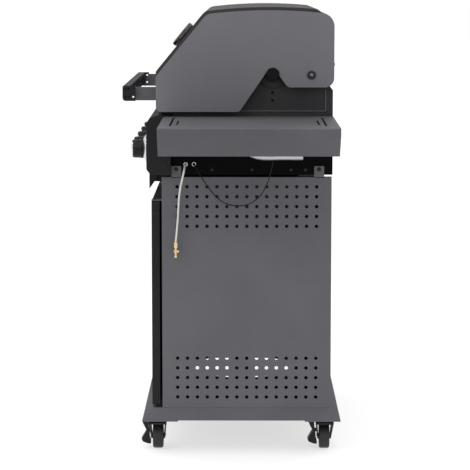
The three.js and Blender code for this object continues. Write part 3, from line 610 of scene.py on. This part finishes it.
def lid_end_cap(side, s):
    """The flat end plate, with a rolled edge, notched round the spit boss."""
    turns = [math.radians(t) for t in range(20, 161, 10)]
    arc = [(SPIT_Y + SPIT_NOTCH * math.cos(t), SPIT_Z + SPIT_NOTCH * math.sin(t)) for t in turns]
    outline = rounded([
        (0.017, 0.872, 0.013), (LID_FRONT, 0.872, 0.014), *lid_over(CAP_DROP),
        (LID_BACK, 0.933, 0.024), (0.139, 0.933, 0.014), (SPIT_Y + SPIT_NOTCH, SPIT_Z - 0.004, 0),
    ], 8) + arc
    bm = bmesh.new()
    add_prism(bm, outline, s * 0.3724, s * 0.3754)
    spin_into(bm, [(0, 0.0), (0.0138, 0.0), (0.0138, 0.0215), (0, 0.0215)],
              (s * 0.3526, PIVOT_Y, PIVOT_Z), "X", 24, s < 0)
    finish_piece(f"lid_end_plate_{side}", bm, GREY_CAP, "lid",
                 (f"lid_cap_{side}",), 30, 0.0008, 3)


def spit_parts(side, s):
    """The plug in the spit boss, and the pivot's washer with its screw."""
    bm = turn([(0, 0.0012), (0.0128, 0.0012), (0.0128, 0.024), (0.0155, 0.0243), (0.0163, 0.0252),
               (0.0163, 0.0274), (0.0150, 0.0287), (0.0105, 0.0289), (0.0098, 0.0280), (0, 0.0280)],
              (s * 0.3516, SPIT_Y, SPIT_Z), "X", 40, s < 0)
    finish_piece(f"spit_boss_plug_{side}", bm, PLASTIC, "grill", (f"spit_plug_{side}",), 35)
    bm = turn([(0, 0), (0.0049, 0), (0.0049, 0.0315), (0.0108, 0.0317), (0.0109, 0.0330),
               (0.0100, 0.0338), (0, 0.0338)], (s * 0.3442, PIVOT_Y, PIVOT_Z), "X", 32, s < 0)
    finish_piece(f"pivot_bolt_{side}", bm, DARK_SCREW, "grill",
                 (f"lid_pivot_bolt_{side}",), 35)
    screw_head(f"pivot_screw_{side}", (s * 0.378, PIVOT_Y, PIVOT_Z), 0.0044, "grill",
               ZINC, flip=s < 0)
    ring = turn([(0.0205, 0.0006), (0.0355, 0.0006), (0.0362, 0.0012), (0.0362, 0.0026), (0.0348, 0.0034),
                 (0.0225, 0.0034), (0.0205, 0.0026), (0.0205, 0.0006)], (s * 0.3518, SPIT_Y, SPIT_Z),
                "X", 48, s < 0)
    finish_piece(f"spit_boss_{side}", ring, FIREBOX, "grill")
    for k, z in enumerate((0.919, 0.9)):
        bm = turn([(0, 0.0004), (0.0036, 0.0004), (0.0036, 0.0008), (0.0030, 0.0014), (0.0016, 0.0016),
                   (0.0014, 0.0006), (0, 0.0006)], (s * 0.3518, SPIT_Y, z), "X", 20, s < 0)
        finish_piece(f"spit_rivet_{side}_{k + 1}", bm, PLASTIC, "grill")


def strip(name, x, y, z, look=FIREBOX):
    """A narrow raised edge on the firebox."""
    bm = bmesh.new()
    add_box(bm, sorted(x), y, z)
    finish_piece(name, bm, look, "grill", bevel=0.0004)


lid_shell()
for side, s in (("right", 1), ("left", -1)):
    lid_end_cap(side, s)
    spit_parts(side, s)
    # painted highlight: the flange and rim strips are grey powder coat, not black enamel, for the light
    # caught along the firebox's edges
    strip(f"firebox_flange_painted_highlight_{side}", (s * 0.3522, s * 0.3545), (0.2325, 0.2348), (0.8745, 0.926), GREY)
    strip(f"firebox_rim_painted_highlight_{side}", (s * 0.3522, s * 0.3545), (-0.02, 0.2348), (0.8722, 0.8742), GREY)
    strip(f"firebox_seam_{side}", (s * 0.3522, s * 0.3532), (0.2349, 0.2508), (0.866, 0.9245))


DIAL_Z, DIAL_SWEEP, DIAL_MARKS = 1.048, 250, 21


def thermometer():
    """A flat dial with marks and a needle, in a dark chromed case on the lid's slope."""
    normal = Vector((0, -math.sin(SLOPE), math.cos(SLOPE)))
    y = LID_FRONT + (DIAL_Z - SLOPE_START) / math.tan(SLOPE)
    tilt = normal.to_track_quat("Z", "Y").to_matrix()
    at = (0, y, DIAL_Z)

    def raised(bm, outline, angle, low, high):
        """A flat shape that stands on the dial, turned by an angle in degrees."""
        spin = Matrix.Rotation(math.radians(angle), 3, "Z")
        top, base = [
            [bm.verts.new(Vector(at) + tilt @ (spin @ Vector((a, b, z)))) for a, b in outline]
            for z in (high, low)
        ]
        bm.faces.new(top)
        bm.faces.new(base[::-1])
        for i in range(4):
            j = (i + 1) % 4
            bm.faces.new((base[i], base[j], top[j], top[i]))

    bm = turn([(0, -0.028), (0.003, -0.028), (0.0038, -0.026), (0.0038, 0.0006), (0.032, 0.0006),
               (0.0368, 0.004), (0.037, 0.010), (0.0362, 0.0140), (0.0345, 0.0150), (0.0325, 0.0150),
               (0.0312, 0.0138), (0.0312, 0.0116), (0, 0.0116)], at, tilt, 56)
    finish_piece("thermometer_case", bm, DARK_CHROME, "lid", ("lid_thermometer",), 30)
    bm = turn([(0, 0.0117), (0.0308, 0.0117), (0.0308, 0.0122), (0, 0.0122)], at, tilt, 48)
    finish_piece("thermometer_dial", bm, DIAL, "lid")
    bm = bmesh.new()
    for i in range(DIAL_MARKS):
        half, inner, outer = 0.00035, 0.0235 if i % 5 else 0.0205, 0.0275
        mark = ((-half, inner), (-half, outer), (half, outer), (half, inner))
        raised(bm, mark, DIAL_SWEEP * (i / (DIAL_MARKS - 1) - 0.5), 0.01215, 0.01232)
    finish_piece("thermometer_marks", bm, PLASTIC, "lid", smooth=5)
    bm = bmesh.new()
    needle = ((-0.0011, -0.006), (0.0011, -0.006), (0.0004, 0.022), (-0.0004, 0.022))
    raised(bm, needle, -118, 0.0125, 0.0131)
    spin_into(bm, [(0, 0.0123), (0.0024, 0.0123), (0.0024, 0.0134), (0.0014, 0.0139), (0, 0.0139)],
              at, tilt, 20)
    finish_piece("thermometer_needle", bm, DARK_SCREW, "lid")


thermometer()

# ---- Handle ----------------------------------------------------------------------------------

HANDLE_HALF, HANDLE_FRONT, HANDLE_BOTTOM, HANDLE_TOP = 0.330, -0.2745, 0.8965, 0.935
HANDLE_HOLES_Z, ARM_X, ARM_BOTTOM, ARM_TOP = (0.9068, 0.927), 0.312, 0.897, 0.931


def bored_plate(bm, outline, holes, x0, x1, sides=16):
    """A flat plate across X with round holes, its faces filled between outline and holes."""
    turns = [2 * math.pi * i / sides for i in range(sides)]
    layers = []
    for x in (x0, x1):
        loops = [[bm.verts.new((x, a, b)) for a, b in outline]]
        for y, z, r in holes:
            loops.append([bm.verts.new((x, y + r * math.cos(t), z + r * math.sin(t))) for t in turns])
        edges = []
        for loop in loops:
            for a, b in zip(loop, loop[1:] + loop[:1]):
                edges.append(bm.edges.new((a, b)))
        bmesh.ops.triangle_fill(bm, use_beauty=True, use_dissolve=False, edges=edges)
        layers.append(loops)
    for near, far in zip(*layers):
        n = len(near)
        for i in range(n):
            j = (i + 1) % n
            bm.faces.new((near[i], near[j], far[j], far[i]))


def handle():
    """A square bar between two bored end plates, on two bent arms."""
    bar = rounded([
        (HANDLE_FRONT + 0.020, HANDLE_BOTTOM + 0.0065, 0.0015), (HANDLE_FRONT, HANDLE_BOTTOM + 0.0065, 0.006),
        (HANDLE_FRONT, HANDLE_TOP, 0.004), (HANDLE_FRONT + 0.020, HANDLE_TOP, 0.0025),
    ], 12)
    bm = bmesh.new()
    add_prism(bm, bar, -HANDLE_HALF + 0.003, HANDLE_HALF - 0.003)
    plate = rounded([
        (HANDLE_FRONT + 0.0325, HANDLE_BOTTOM, 0.001), (HANDLE_FRONT, HANDLE_BOTTOM, 0.008),
        (HANDLE_FRONT, HANDLE_TOP, 0.004), (HANDLE_FRONT + 0.0325, HANDLE_TOP, 0.001),
    ], 12)
    holes = [(HANDLE_FRONT + dy, z, 0.0024) for dy in (0.0085, 0.0165, 0.027) for z in HANDLE_HOLES_Z]
    finish_piece("handle_bar", bm, DARK, "lid", ("lid_handle",), 30)
    for side, s in (("right", 1), ("left", -1)):
        bm = bmesh.new()
        bored_plate(bm, plate, holes, s * (HANDLE_HALF - 0.0028), s * HANDLE_HALF)
        finish_piece(f"handle_end_{side}", bm, DARK, "lid")
        bm = bmesh.new()
        web = [(-0.2531, ARM_BOTTOM), (-0.1895, ARM_BOTTOM), (-0.1895, ARM_TOP), (-0.2531, ARM_TOP)]
        bored_plate(bm, web, [(-0.2475, z, 0.0038) for z in HANDLE_HOLES_Z],
                    s * ARM_X, s * (ARM_X + 0.0028))
        for foot in ((-0.2531, -0.2515), (-0.1922, -0.1895)):
            add_box(bm, sorted((s * (ARM_X - 0.014), s * (ARM_X + 0.001))), foot, (ARM_BOTTOM, ARM_TOP))
        finish_piece(f"handle_arm_{side}", bm, GREY, "lid", (f"handle_bracket_{side}",))


handle()

# ---- Knobs and bezels ------------------------------------------------------------------------

KNOB_X = (-0.24, -0.08, 0.08, 0.24, 0.325)
KNOB_Z, KNOB_FRONT, KNOB_BACK, PANEL_FRONT = 0.7765, -0.252, -0.223, -0.2137


def knob(i, x):
    """A moulded knob with a finger ridge, a chromed face ring and a pointer."""
    body = f"knob_{'abcde'[i - 1]}"
    depth = KNOB_BACK - KNOB_FRONT
    bm = bmesh.new()
    sides = 60
    rings = []
    for r, d, flute in ((0.0175, 0, 0), (0.0235, 0, 0), (0.0244, 0.0012, 0), (0.0243, 0.006, 0),
                        (0.0234, 0.008, 1), (0.0230, depth - 0.0052, 1), (0.0222, depth - 0.0040, 0.3),
                        (0.0150, depth - 0.0038, 0), (0.0140, depth - 0.0016, 0), (0, depth - 0.0012, 0)):
        ring = []
        for k in range(sides if r else 1):
            t = 2 * math.pi * k / sides
            rr = r - 0.0007 * flute * max(0, math.cos(t * 15))
            ring.append(bm.verts.new((x + rr * math.cos(t), KNOB_BACK - d, KNOB_Z + rr * math.sin(t))))
        rings.append(ring)
    for low_ring, high_ring in zip(rings, rings[1:]):
        for k in range(sides):
            j = (k + 1) % sides
            if len(high_ring) == 1:
                bm.faces.new((low_ring[k], low_ring[j], high_ring[0]))
            else:
                bm.faces.new((low_ring[k], low_ring[j], high_ring[j], high_ring[k]))
    bm.faces.new(rings[0][::-1])
    finish_piece(f"knob_body_{i}", bm, KNOB, body, (f"knob_{i}",), 30)
    ring = turn([(0.0152, 0), (0.0222, 0), (0.0227, 0.0006), (0.0226, 0.0018), (0.0216, 0.0032),
                 (0.0200, 0.0040), (0.0172, 0.0040), (0.0158, 0.0030), (0.0152, 0.0016), (0.0152, 0)],
                (x, KNOB_FRONT + 0.0040, KNOB_Z), "Y", 60, True)
    finish_piece(f"knob_ring_{i}", ring, CHROME, body)
    bm = bmesh.new()
    add_box(bm, (x - 0.0009, x + 0.0009), (KNOB_FRONT + 0.0004, KNOB_FRONT + 0.0022),
            (KNOB_Z + 0.003, KNOB_Z + 0.0125))
    finish_piece(f"knob_pointer_{i}", bm, DIAL, body, bevel=0.0003)
    bezel = turn([(0.0225, 0.0002), (0.0352, 0.0002), (0.0360, 0.0008), (0.0358, 0.0018), (0.0340, 0.0034),
                  (0.0275, 0.0078), (0.0256, 0.0086), (0.0238, 0.0087), (0.0228, 0.0080), (0.0225, 0.0070),
                  (0.0225, 0.0002)], (x, PANEL_FRONT, KNOB_Z), "Y", 64, True)
    finish_piece(f"knob_bezel_{i}", bezel, CHROME, "grill")


for i, x in enumerate(KNOB_X):
    knob(i + 1, x)

# ---- Shelves ---------------------------------------------------------------------------------

SHELF_IN, SHELF_OUT, SHELF_FRONT, SHELF_BACK, SHELF_TOP = 0.3524, 0.720, -0.1704, 0.2534, 0.860
SHELF_BOTTOM = 0.790
SHELF_FOLD = (
    (SHELF_OUT, SHELF_TOP, 0.0045), (SHELF_OUT, 0.843, 0.0115), (0.668, SHELF_BOTTOM, 0),
    (0.660, SHELF_BOTTOM, 0), (0.6595, SHELF_BOTTOM + SHEET, 0), (0.6665, SHELF_BOTTOM + SHEET, 0),
    (SHELF_OUT - SHEET, 0.8435, 0.010), (SHELF_OUT - SHEET, SHELF_TOP - SHEET, 0.0028),
)


def shelf_sheet(side, s, opening):
    """The shelf's folded pan with a rounded outer fold, and a framed opening if it has a burner."""
    front, span = SHELF_FRONT, (SHELF_FRONT + 0.0012, SHELF_BACK - 0.0012)
    profile = rounded([
        (SHELF_IN, SHELF_TOP, 0), *SHELF_FOLD, (SHELF_IN + SHEET, SHELF_TOP - SHEET, 0),
        (SHELF_IN + SHEET, SHELF_BOTTOM, 0), (SHELF_IN, SHELF_BOTTOM, 0),
    ], 8)
    bm = bmesh.new()

    def place(y, a, b):
        return (s * a, y, b)

    if not opening:
        add_prism(bm, profile, *span, place)
    else:
        x0, x1, y0, y1, floor = opening
        rim = rounded([(x1, SHELF_TOP, 0), *SHELF_FOLD, (x1, SHELF_TOP - SHEET, 0)], 8)
        add_prism(bm, rim, *span, place)
        inner = [
            (SHELF_IN, SHELF_TOP), (x0, SHELF_TOP), (x0, SHELF_TOP - SHEET),
            (SHELF_IN + SHEET, SHELF_TOP - SHEET), (SHELF_IN + SHEET, SHELF_BOTTOM), (SHELF_IN, SHELF_BOTTOM),
        ]
        add_prism(bm, inner, *span, place)
        across = sorted((s * (x0 - 0.0001), s * (x1 + 0.0001)))
        for ya, yb in ((span[0], y0), (y1, span[1])):
            add_box(bm, across, (ya, yb), (SHELF_TOP - SHEET, SHELF_TOP))
        across = sorted((s * (x0 - SHEET), s * (x1 + SHEET)))
        add_box(bm, across, (y0 - SHEET, y1 + SHEET), (floor - SHEET, floor))
        for xa, xb, ya, yb in (
            (x0 - SHEET, x0, y0 - SHEET, y1 + SHEET), (x1, x1 + SHEET, y0 - SHEET, y1 + SHEET),
            (x0, x1, y0 - SHEET, y0), (x0, x1, y1, y1 + SHEET),
        ):
            add_box(bm, sorted((s * xa, s * xb)), (ya, yb), (floor, SHELF_TOP - SHEET * 0.5))
    wall = rounded([
        (SHELF_IN, SHELF_TOP - 0.0008, 0), (SHELF_OUT - 0.0006, SHELF_TOP - 0.0008, 0.004),
        (SHELF_OUT - 0.0006, 0.843, 0.0112), (0.668, SHELF_BOTTOM, 0), (SHELF_IN, SHELF_BOTTOM, 0),
    ], 8)
    add_prism(bm, wall, front, front + SHEET, place)
    add_prism(bm, wall, SHELF_BACK - SHEET, SHELF_BACK, place)
    finish_piece(f"shelf_pan_{side}", bm, GREY_SHELF, "grill", (f"{side}_shelf",), 30)


RECESS = (0.397, 0.653, -0.146, 0.225, 0.802)
shelf_sheet("right", 1, RECESS)
shelf_sheet("left", -1, None)


def burner_cover():
    """The side burner's flush cover: shallow grooves from front to back, and near each end a black strip,
    painted shade standing for a slot.
    """
    x0, x1, y0, y1 = 0.402, 0.648, -0.141, 0.220
    top, base = 0.860, 0.856
    ribs = 9
    margin = 0.018
    xs = [x0, x0 + 0.002]
    pitch = (x1 - x0 - 2 * margin) / ribs
    for i in range(ribs):
        a = x0 + margin + i * pitch
        xs += [a + pitch * 0.16, a + pitch * 0.30, a + pitch * 0.70, a + pitch * 0.84]
    xs += [x1 - 0.002, x1]
    ys = [y0, y0 + 0.002, y0 + 0.020, y0 + 0.026, y1 - 0.026, y1 - 0.020, y1 - 0.002, y1]

    def height(ix, iy):
        if ix in (0, len(xs) - 1) or iy in (0, len(ys) - 1):
            return top - 0.0012
        k = ix - 2
        groove = 0 <= k < 4 * ribs and k % 4 in (1, 2) and 3 <= iy <= 4
        return top - 0.0009 if groove else top - 0.0001

    bm = bmesh.new()
    grid = [[bm.verts.new((x, y, height(i, j))) for j, y in enumerate(ys)] for i, x in enumerate(xs)]
    under = [[bm.verts.new((x, y, base)) for y in ys] for x in xs]
    for i in range(len(xs) - 1):
        for j in range(len(ys) - 1):
            bm.faces.new((grid[i][j], grid[i + 1][j], grid[i + 1][j + 1], grid[i][j + 1]))
            bm.faces.new((under[i][j], under[i][j + 1], under[i + 1][j + 1], under[i + 1][j]))
    for i in range(len(xs) - 1):
        for j in (0, len(ys) - 1):
            bm.faces.new((grid[i][j], under[i][j], under[i + 1][j], grid[i + 1][j]))
    for j in range(len(ys) - 1):
        for i in (0, len(xs) - 1):
            bm.faces.new((grid[i][j], grid[i][j + 1], under[i][j + 1], under[i][j]))
    for xa, xb in ((x0, x0 + 0.003), (x1 - 0.003, x1)):
        add_box(bm, (xa, xb), (0.210, 0.218), (0.851, 0.857))
    for x in (0.3955, 0.647):
        spin_into(bm, [(0, 0), (0.0019, 0), (0.0019, 0.0075), (0, 0.0075)], (x, 0.214, 0.854), "X", 14)
    finish_piece("burner_cover_plate", bm, GREY_SHELF, "burner_cover",
                 ("side_burner_lid",), 25)
    # painted shade: a thin black strip near each end stands for the dark inside a slot
    for name, y in (("front", y0 + 0.013), ("back", y1 - 0.013)):
        bm = bmesh.new()
        add_box(bm, (0.50, 0.628), (y - 0.0026, y + 0.0026), (top - 0.0010, top + 0.0002))
        finish_piece(f"burner_cover_slot_painted_shade_{name}", bm, PLASTIC, "burner_cover", bevel=0.0004)


burner_cover()


# ---- Control panel ---------------------------------------------------------------------------

def control_panel():
    """The folded front panel with closed ends, open towards the firebox."""
    front, back, foot, bottom, top, shoulder = -0.2137, -0.171, -0.1524, 0.7135, 0.862, 0.788
    half = 0.368
    outer = rounded([
        (foot, bottom, 0), (front + 0.011, bottom, 0.006), (front, bottom + 0.014, 0.008),
        (front, top, 0.026), (back, top, 0),
    ], 6)
    inner = rounded([
        (foot, bottom + SHEET, 0), (front + 0.0122, bottom + SHEET, 0.005),
        (front + SHEET, bottom + 0.0148, 0.007), (front + SHEET, top - SHEET, 0.024),
        (back, top - SHEET, 0),
    ], 6)
    bm = bmesh.new()
    add_prism(bm, outer + inner[::-1], -half + 0.0015, half - 0.0015)
    add_box(bm, (-0.35, 0.35), (back, foot), (top - SHEET, top))
    finish_piece("panel_front", bm, DARK, "grill", ("control_panel",), 30)
    for side, s in (("right", 1), ("left", -1)):
        bm = bmesh.new()
        add_prism(bm, outer + [(back, shoulder), (foot, shoulder)], s * (half - 0.0014), s * half)
        finish_piece(f"panel_end_{side}", bm, DARK, "grill", bevel=0.0005)
        screw_head(f"panel_end_screw_{side}", (s * 0.368, -0.1668, 0.7363), 0.0036, "grill",
                   DARK_SCREW, flip=s < 0)


def grease_drawer():
    """The open drip pan, and its pull: a front plate between two tapered ends."""
    half, front, back, bottom, top, pull = 0.091, -0.221, 0.165, 0.667, 0.700, 0.097
    bm = bmesh.new()
    add_box(bm, (-half, half), (front + 0.003, back), (bottom, bottom + SHEET))
    for x0, x1, y0, y1 in (
        (-half, SHEET - half, front + 0.003, back), (half - SHEET, half, front + 0.003, back),
        (-half, half, front + 0.003, front + 0.005), (-half, half, back - SHEET, back),
    ):
        add_box(bm, (x0, x1), (y0, y1), (bottom + SHEET * 0.5, top))
    face = [(-0.2204, 0.7065), (-0.2204, 0.6488), (-0.2188, 0.6488), (-0.2188, 0.7065)]
    add_prism(bm, face, -pull, pull)
    end = [(-0.2203, 0.7065), (-0.198, 0.7065), (-0.198, 0.680), (-0.2186, 0.650), (-0.2203, 0.6489)]
    for s in (-1, 1):
        add_prism(bm, end, s * (pull - 0.0016), s * pull)
    finish_piece("grease_pan", bm, DARK, "grease_drawer", ("grease_tray",), 30, 0.0004)


grease_drawer()
control_panel()
for name, y, z in (("tube", -0.116, 0.739), ("lead", -0.095, 0.7395)):
    ring = turn([(0.0036, 0.0001), (0.0052, 0.0001), (0.0054, 0.0006), (0.0050, 0.0012), (0.0040, 0.0012),
                 (0.0036, 0.0008), (0.0036, 0.0001)], (0.352, y, z), "X", 24)
    finish_piece(f"grommet_{name}", ring, CHROME, "grill")
screw_head("lid_back_screw", (0.3625, 0.254, 0.99), 0.0036, "lid", DARK_SCREW, "Y")
for side, s in (("right", 1), ("left", -1)):
    pin = turn([(0, 0.1182), (0.0034, 0.1182), (0.0034, 0.1196), (0.0029, 0.1200), (0.0029, 0.1262),
                (0, 0.1262)], (s * 0.344, -0.1935, 0), "Z", 20)
    finish_piece(f"hinge_pin_{side}", pin, ZINC, "grill")


# ---- Casters ---------------------------------------------------------------------------------

WHEEL_RADIUS, FORK_INSIDE, FORK_LEAN, CASTER_TRAIL = 0.034, 0.0145, 0.11, 0.028


def caster_fork(name, body, x, y, lug):
    """A swivel housing, two bowed legs with pressed edges, and the wheel's axle."""
    ax = x - CASTER_TRAIL
    bm = bmesh.new()
    outline = rounded([
        (ax - 0.009, 0.025, 0.008), (ax + 0.009, 0.025, 0.008), (x + 0.020, 0.071, 0.004),
        (x + 0.020, 0.077, 0.002), (ax - 0.002, 0.077, 0.002), (ax - 0.012, 0.060, 0.006),
    ], 9)
    for sign in (-1, 1):
        def lean(d, a, b, sign=sign):
            return (a, y + sign * (d + FORK_LEAN * (b - WHEEL_RADIUS)), b)
        add_prism(bm, outline, FORK_INSIDE, FORK_INSIDE + 0.004, lean)
    crown = rounded([
        (ax - 0.002, y - 0.0225, 0.004), (x + 0.020, y - 0.0225, 0.008),
        (x + 0.020, y + 0.0225, 0.008), (ax - 0.002, y + 0.0225, 0.004),
    ], 12)
    add_prism(bm, crown, 0.071, 0.077, lambda z, a, b: (a, b, z))
    if lug:
        add_box(bm, (ax - 0.004, ax + 0.004), (y - 0.028, y - FORK_INSIDE - 0.002), (0.043, 0.051))
        spin_into(bm, [(0, 0), (0.0019, 0), (0.0019, 0.019), (0, 0.019)],
                  (ax - 0.0095, y - 0.025, 0.047), "X", 14)
    finish_piece(f"{name}_fork", bm, PLASTIC_GLOSS, body,
                 (f"caster_fork_{name[7:]}",), 35, 0.0009, 3)
    housing = turn([
        (0, 0.0764), (0.0175, 0.0764), (0.0190, 0.0776), (0.0208, 0.0790), (0.0210, 0.0802),
        (0.0200, 0.0812), (0.0200, 0.0822), (0.0210, 0.0834), (0.0208, 0.0866), (0.0196, 0.0876), (0, 0.0876),
    ], (x, y, 0), "Z", 40)
    finish_piece(f"{name}_housing", housing, PLASTIC_GLOSS, body)
    axle = bmesh.new()
    span = FORK_INSIDE + 0.003
    spin_into(axle, [(0, -span), (0.0026, -span), (0.0040, -span + 0.0012), (0.0040, span - 0.0012),
                     (0.0026, span), (0, span)], (ax, y, WHEEL_RADIUS), "Y", 24)
    for sign in (-1, 1):
        spin_into(axle, [(0, 0), (0.0046, 0), (0.0043, 0.0009), (0, 0.0009)],
                  (ax, y + sign * (FORK_INSIDE + 0.004), WHEEL_RADIUS), "Y", 24, sign < 0)
    finish_piece(f"{name}_axle", axle, DARK_SCREW, body)


def caster_wheel(name, body, x, y):
    """A tyre on a dished core with ribs."""
    at = (x - CASTER_TRAIL, y, WHEEL_RADIUS)
    r = WHEEL_RADIUS
    half = 0.013
    tyre = turn([
        (0.0255, -half + 0.0008), (r - 0.0030, -half), (r - 0.0014, -half + 0.0010),
        (r - 0.0003, -half + 0.0030), (r, -half + 0.0056), (r, half - 0.0056),
        (r - 0.0003, half - 0.0030), (r - 0.0014, half - 0.0010),
        (r - 0.0030, half), (0.0255, half - 0.0008), (0.0255, -half + 0.0008),
    ], at, "Y", 72)
    finish_piece(f"{name}_tyre", tyre, RUBBER, body, (f"caster_wheel_{name[6:]}",), 25)
    core = bmesh.new()
    side = [(0.0045, 0.0130), (0.0080, 0.0130), (0.0092, 0.0122), (0.0102, 0.0080), (0.0222, 0.0080),
            (0.0232, 0.0112), (0.0240, 0.0118), (0.0257, 0.0118)]
    spin_into(core, [(a, -b) for a, b in side] + side[::-1] + [(0.0045, -0.0130)], at, "Y", 60)
    for k in range(6):
        spin = Matrix.Rotation(math.pi * k / 3, 3, "Y")
        for sign in (-1, 1):
            corners = [Vector(at) + spin @ Vector((a, sign * b, c))
                       for a in (-0.0011, 0.0011) for b in (0.0078, 0.0108) for c in (0.0088, 0.0236)]
            add_block(core, corners)
    finish_piece(f"{name}_core", core, HUB, body)


def brake_rocker(name, body, x, y):
    """Two foot pads with a waist, forked round the pin in their middle."""
    ax = x - CASTER_TRAIL
    full = [(-26, 82, 3), (-38, 80, 4), (-41.5, 72, 3), (-38, 64, 3), (-29.5, 47, 5), (-37, 36, 3),
            (-43, 26, 3), (-40, 18, 4), (-28, 13, 3), (-18.5, 12, 1), (-18.5, 20, 2), (-21.5, 30, 4),
            (-22.5, 47, 6), (-25, 58, 4)]
    upper = [(-26, 82, 3), (-38, 80, 4), (-41.5, 72, 3), (-38, 64, 3), (-33.5, 55.5, 0), (-24.6, 55.5, 0)]
    lower = [(-35, 38.9, 0), (-37, 36, 1), (-43, 26, 3), (-40, 18, 4), (-28, 13, 3), (-18.5, 12, 1),
             (-18.5, 20, 2), (-21.5, 30, 4), (-22, 38.9, 0)]
    bm = bmesh.new()
    for outline, x0, x1 in ((full, -0.011, -0.0053), (full, 0.0053, 0.011),
                            (upper, -0.0054, 0.0054), (lower, -0.0054, 0.0054)):
        line = rounded([(y + a * MM, b * MM, r * MM) for a, b, r in outline], 12)
        add_prism(bm, line, ax + x0, ax + x1)
    finish_piece(f"{name}_rocker", bm, PLASTIC_GLOSS, body,
                 (f"brake_lever_{name[6:]}",), 35, 0.0008, 3)


for end, y in (("front", -0.190), ("back", 0.2365)):
    for side, s in (("right", 1), ("left", -1)):
        which = f"{end}_{side}"
        caster_fork(f"caster_{which}", f"caster_{which}", s * 0.325, y, s > 0)
        caster_wheel(f"wheel_{which}", f"wheel_{which}", s * 0.325, y)
        if s > 0:
            brake_rocker(f"brake_{which}", f"brake_{which}", s * 0.325, y)


# ---- Soft edges on folded and moulded CAD nodes ----------------------------------------------

for node, width in (
    ("base_tray", 0.0009), ("front_header", 0.0006),
    ("right_door", 0.0008), ("left_door", 0.0008),
    ("side_burner_grate", 0.0008), ("cooking_grate_left", 0.001), ("cooking_grate_right", 0.001),
):
    add_bevel(NODES[node], width)


# ---- Stage and light -------------------------------------------------------------------------

def stage():
    """A pale floor, lit partly by itself, a white world and three soft lights."""
    floor = Shader("floor", Specular_IOR_Level=0.0, Emission_Color=(1, 1, 1, 1), Emission_Strength=0.62)
    floor.link(floor.ramp(floor.noise(1.2, 2.0), linear((180, 180, 180)), linear((184, 184, 184))),
               floor.bsdf.inputs["Base Color"])
    floor.bsdf.inputs["Roughness"].default_value = 0.9
    bm = bmesh.new()
    size = 30
    bm.faces.new([bm.verts.new((x, y, -0.0003)) for x, y in (
        (-size, -size), (size, -size), (size, size), (-size, size))])
    data = bpy.data.meshes.new("floor")
    bm.to_mesh(data)
    bm.free()
    data.materials.append(floor.material)
    ground = bpy.data.objects.new("floor", data)
    bpy.context.scene.collection.objects.link(ground)
    world = bpy.data.worlds.new("studio")
    world.use_nodes = True
    background = world.node_tree.nodes["Background"]
    background.inputs["Color"].default_value = (1, 1, 1, 1)
    background.inputs["Strength"].default_value = 1.0
    bpy.context.scene.world = world
    for name, place, size, power in (
        ("key", (2.6, -3.2, 3.4), 2.4, 46),
        ("fill", (3.4, 2.8, 2.2), 2.6, 14),
        ("top", (0.3, 0.0, 3.6), 2.6, 34),
    ):
        light = bpy.data.lights.new(name, "AREA")
        light.energy, light.size = power, size
        lamp = bpy.data.objects.new(name, light)
        lamp.location = place
        lamp.rotation_mode = "QUATERNION"
        lamp.rotation_quaternion = (Vector((0.2, 0, 0.6)) - Vector(place)).to_track_quat("-Z", "Y")
        bpy.context.scene.collection.objects.link(lamp)


stage()
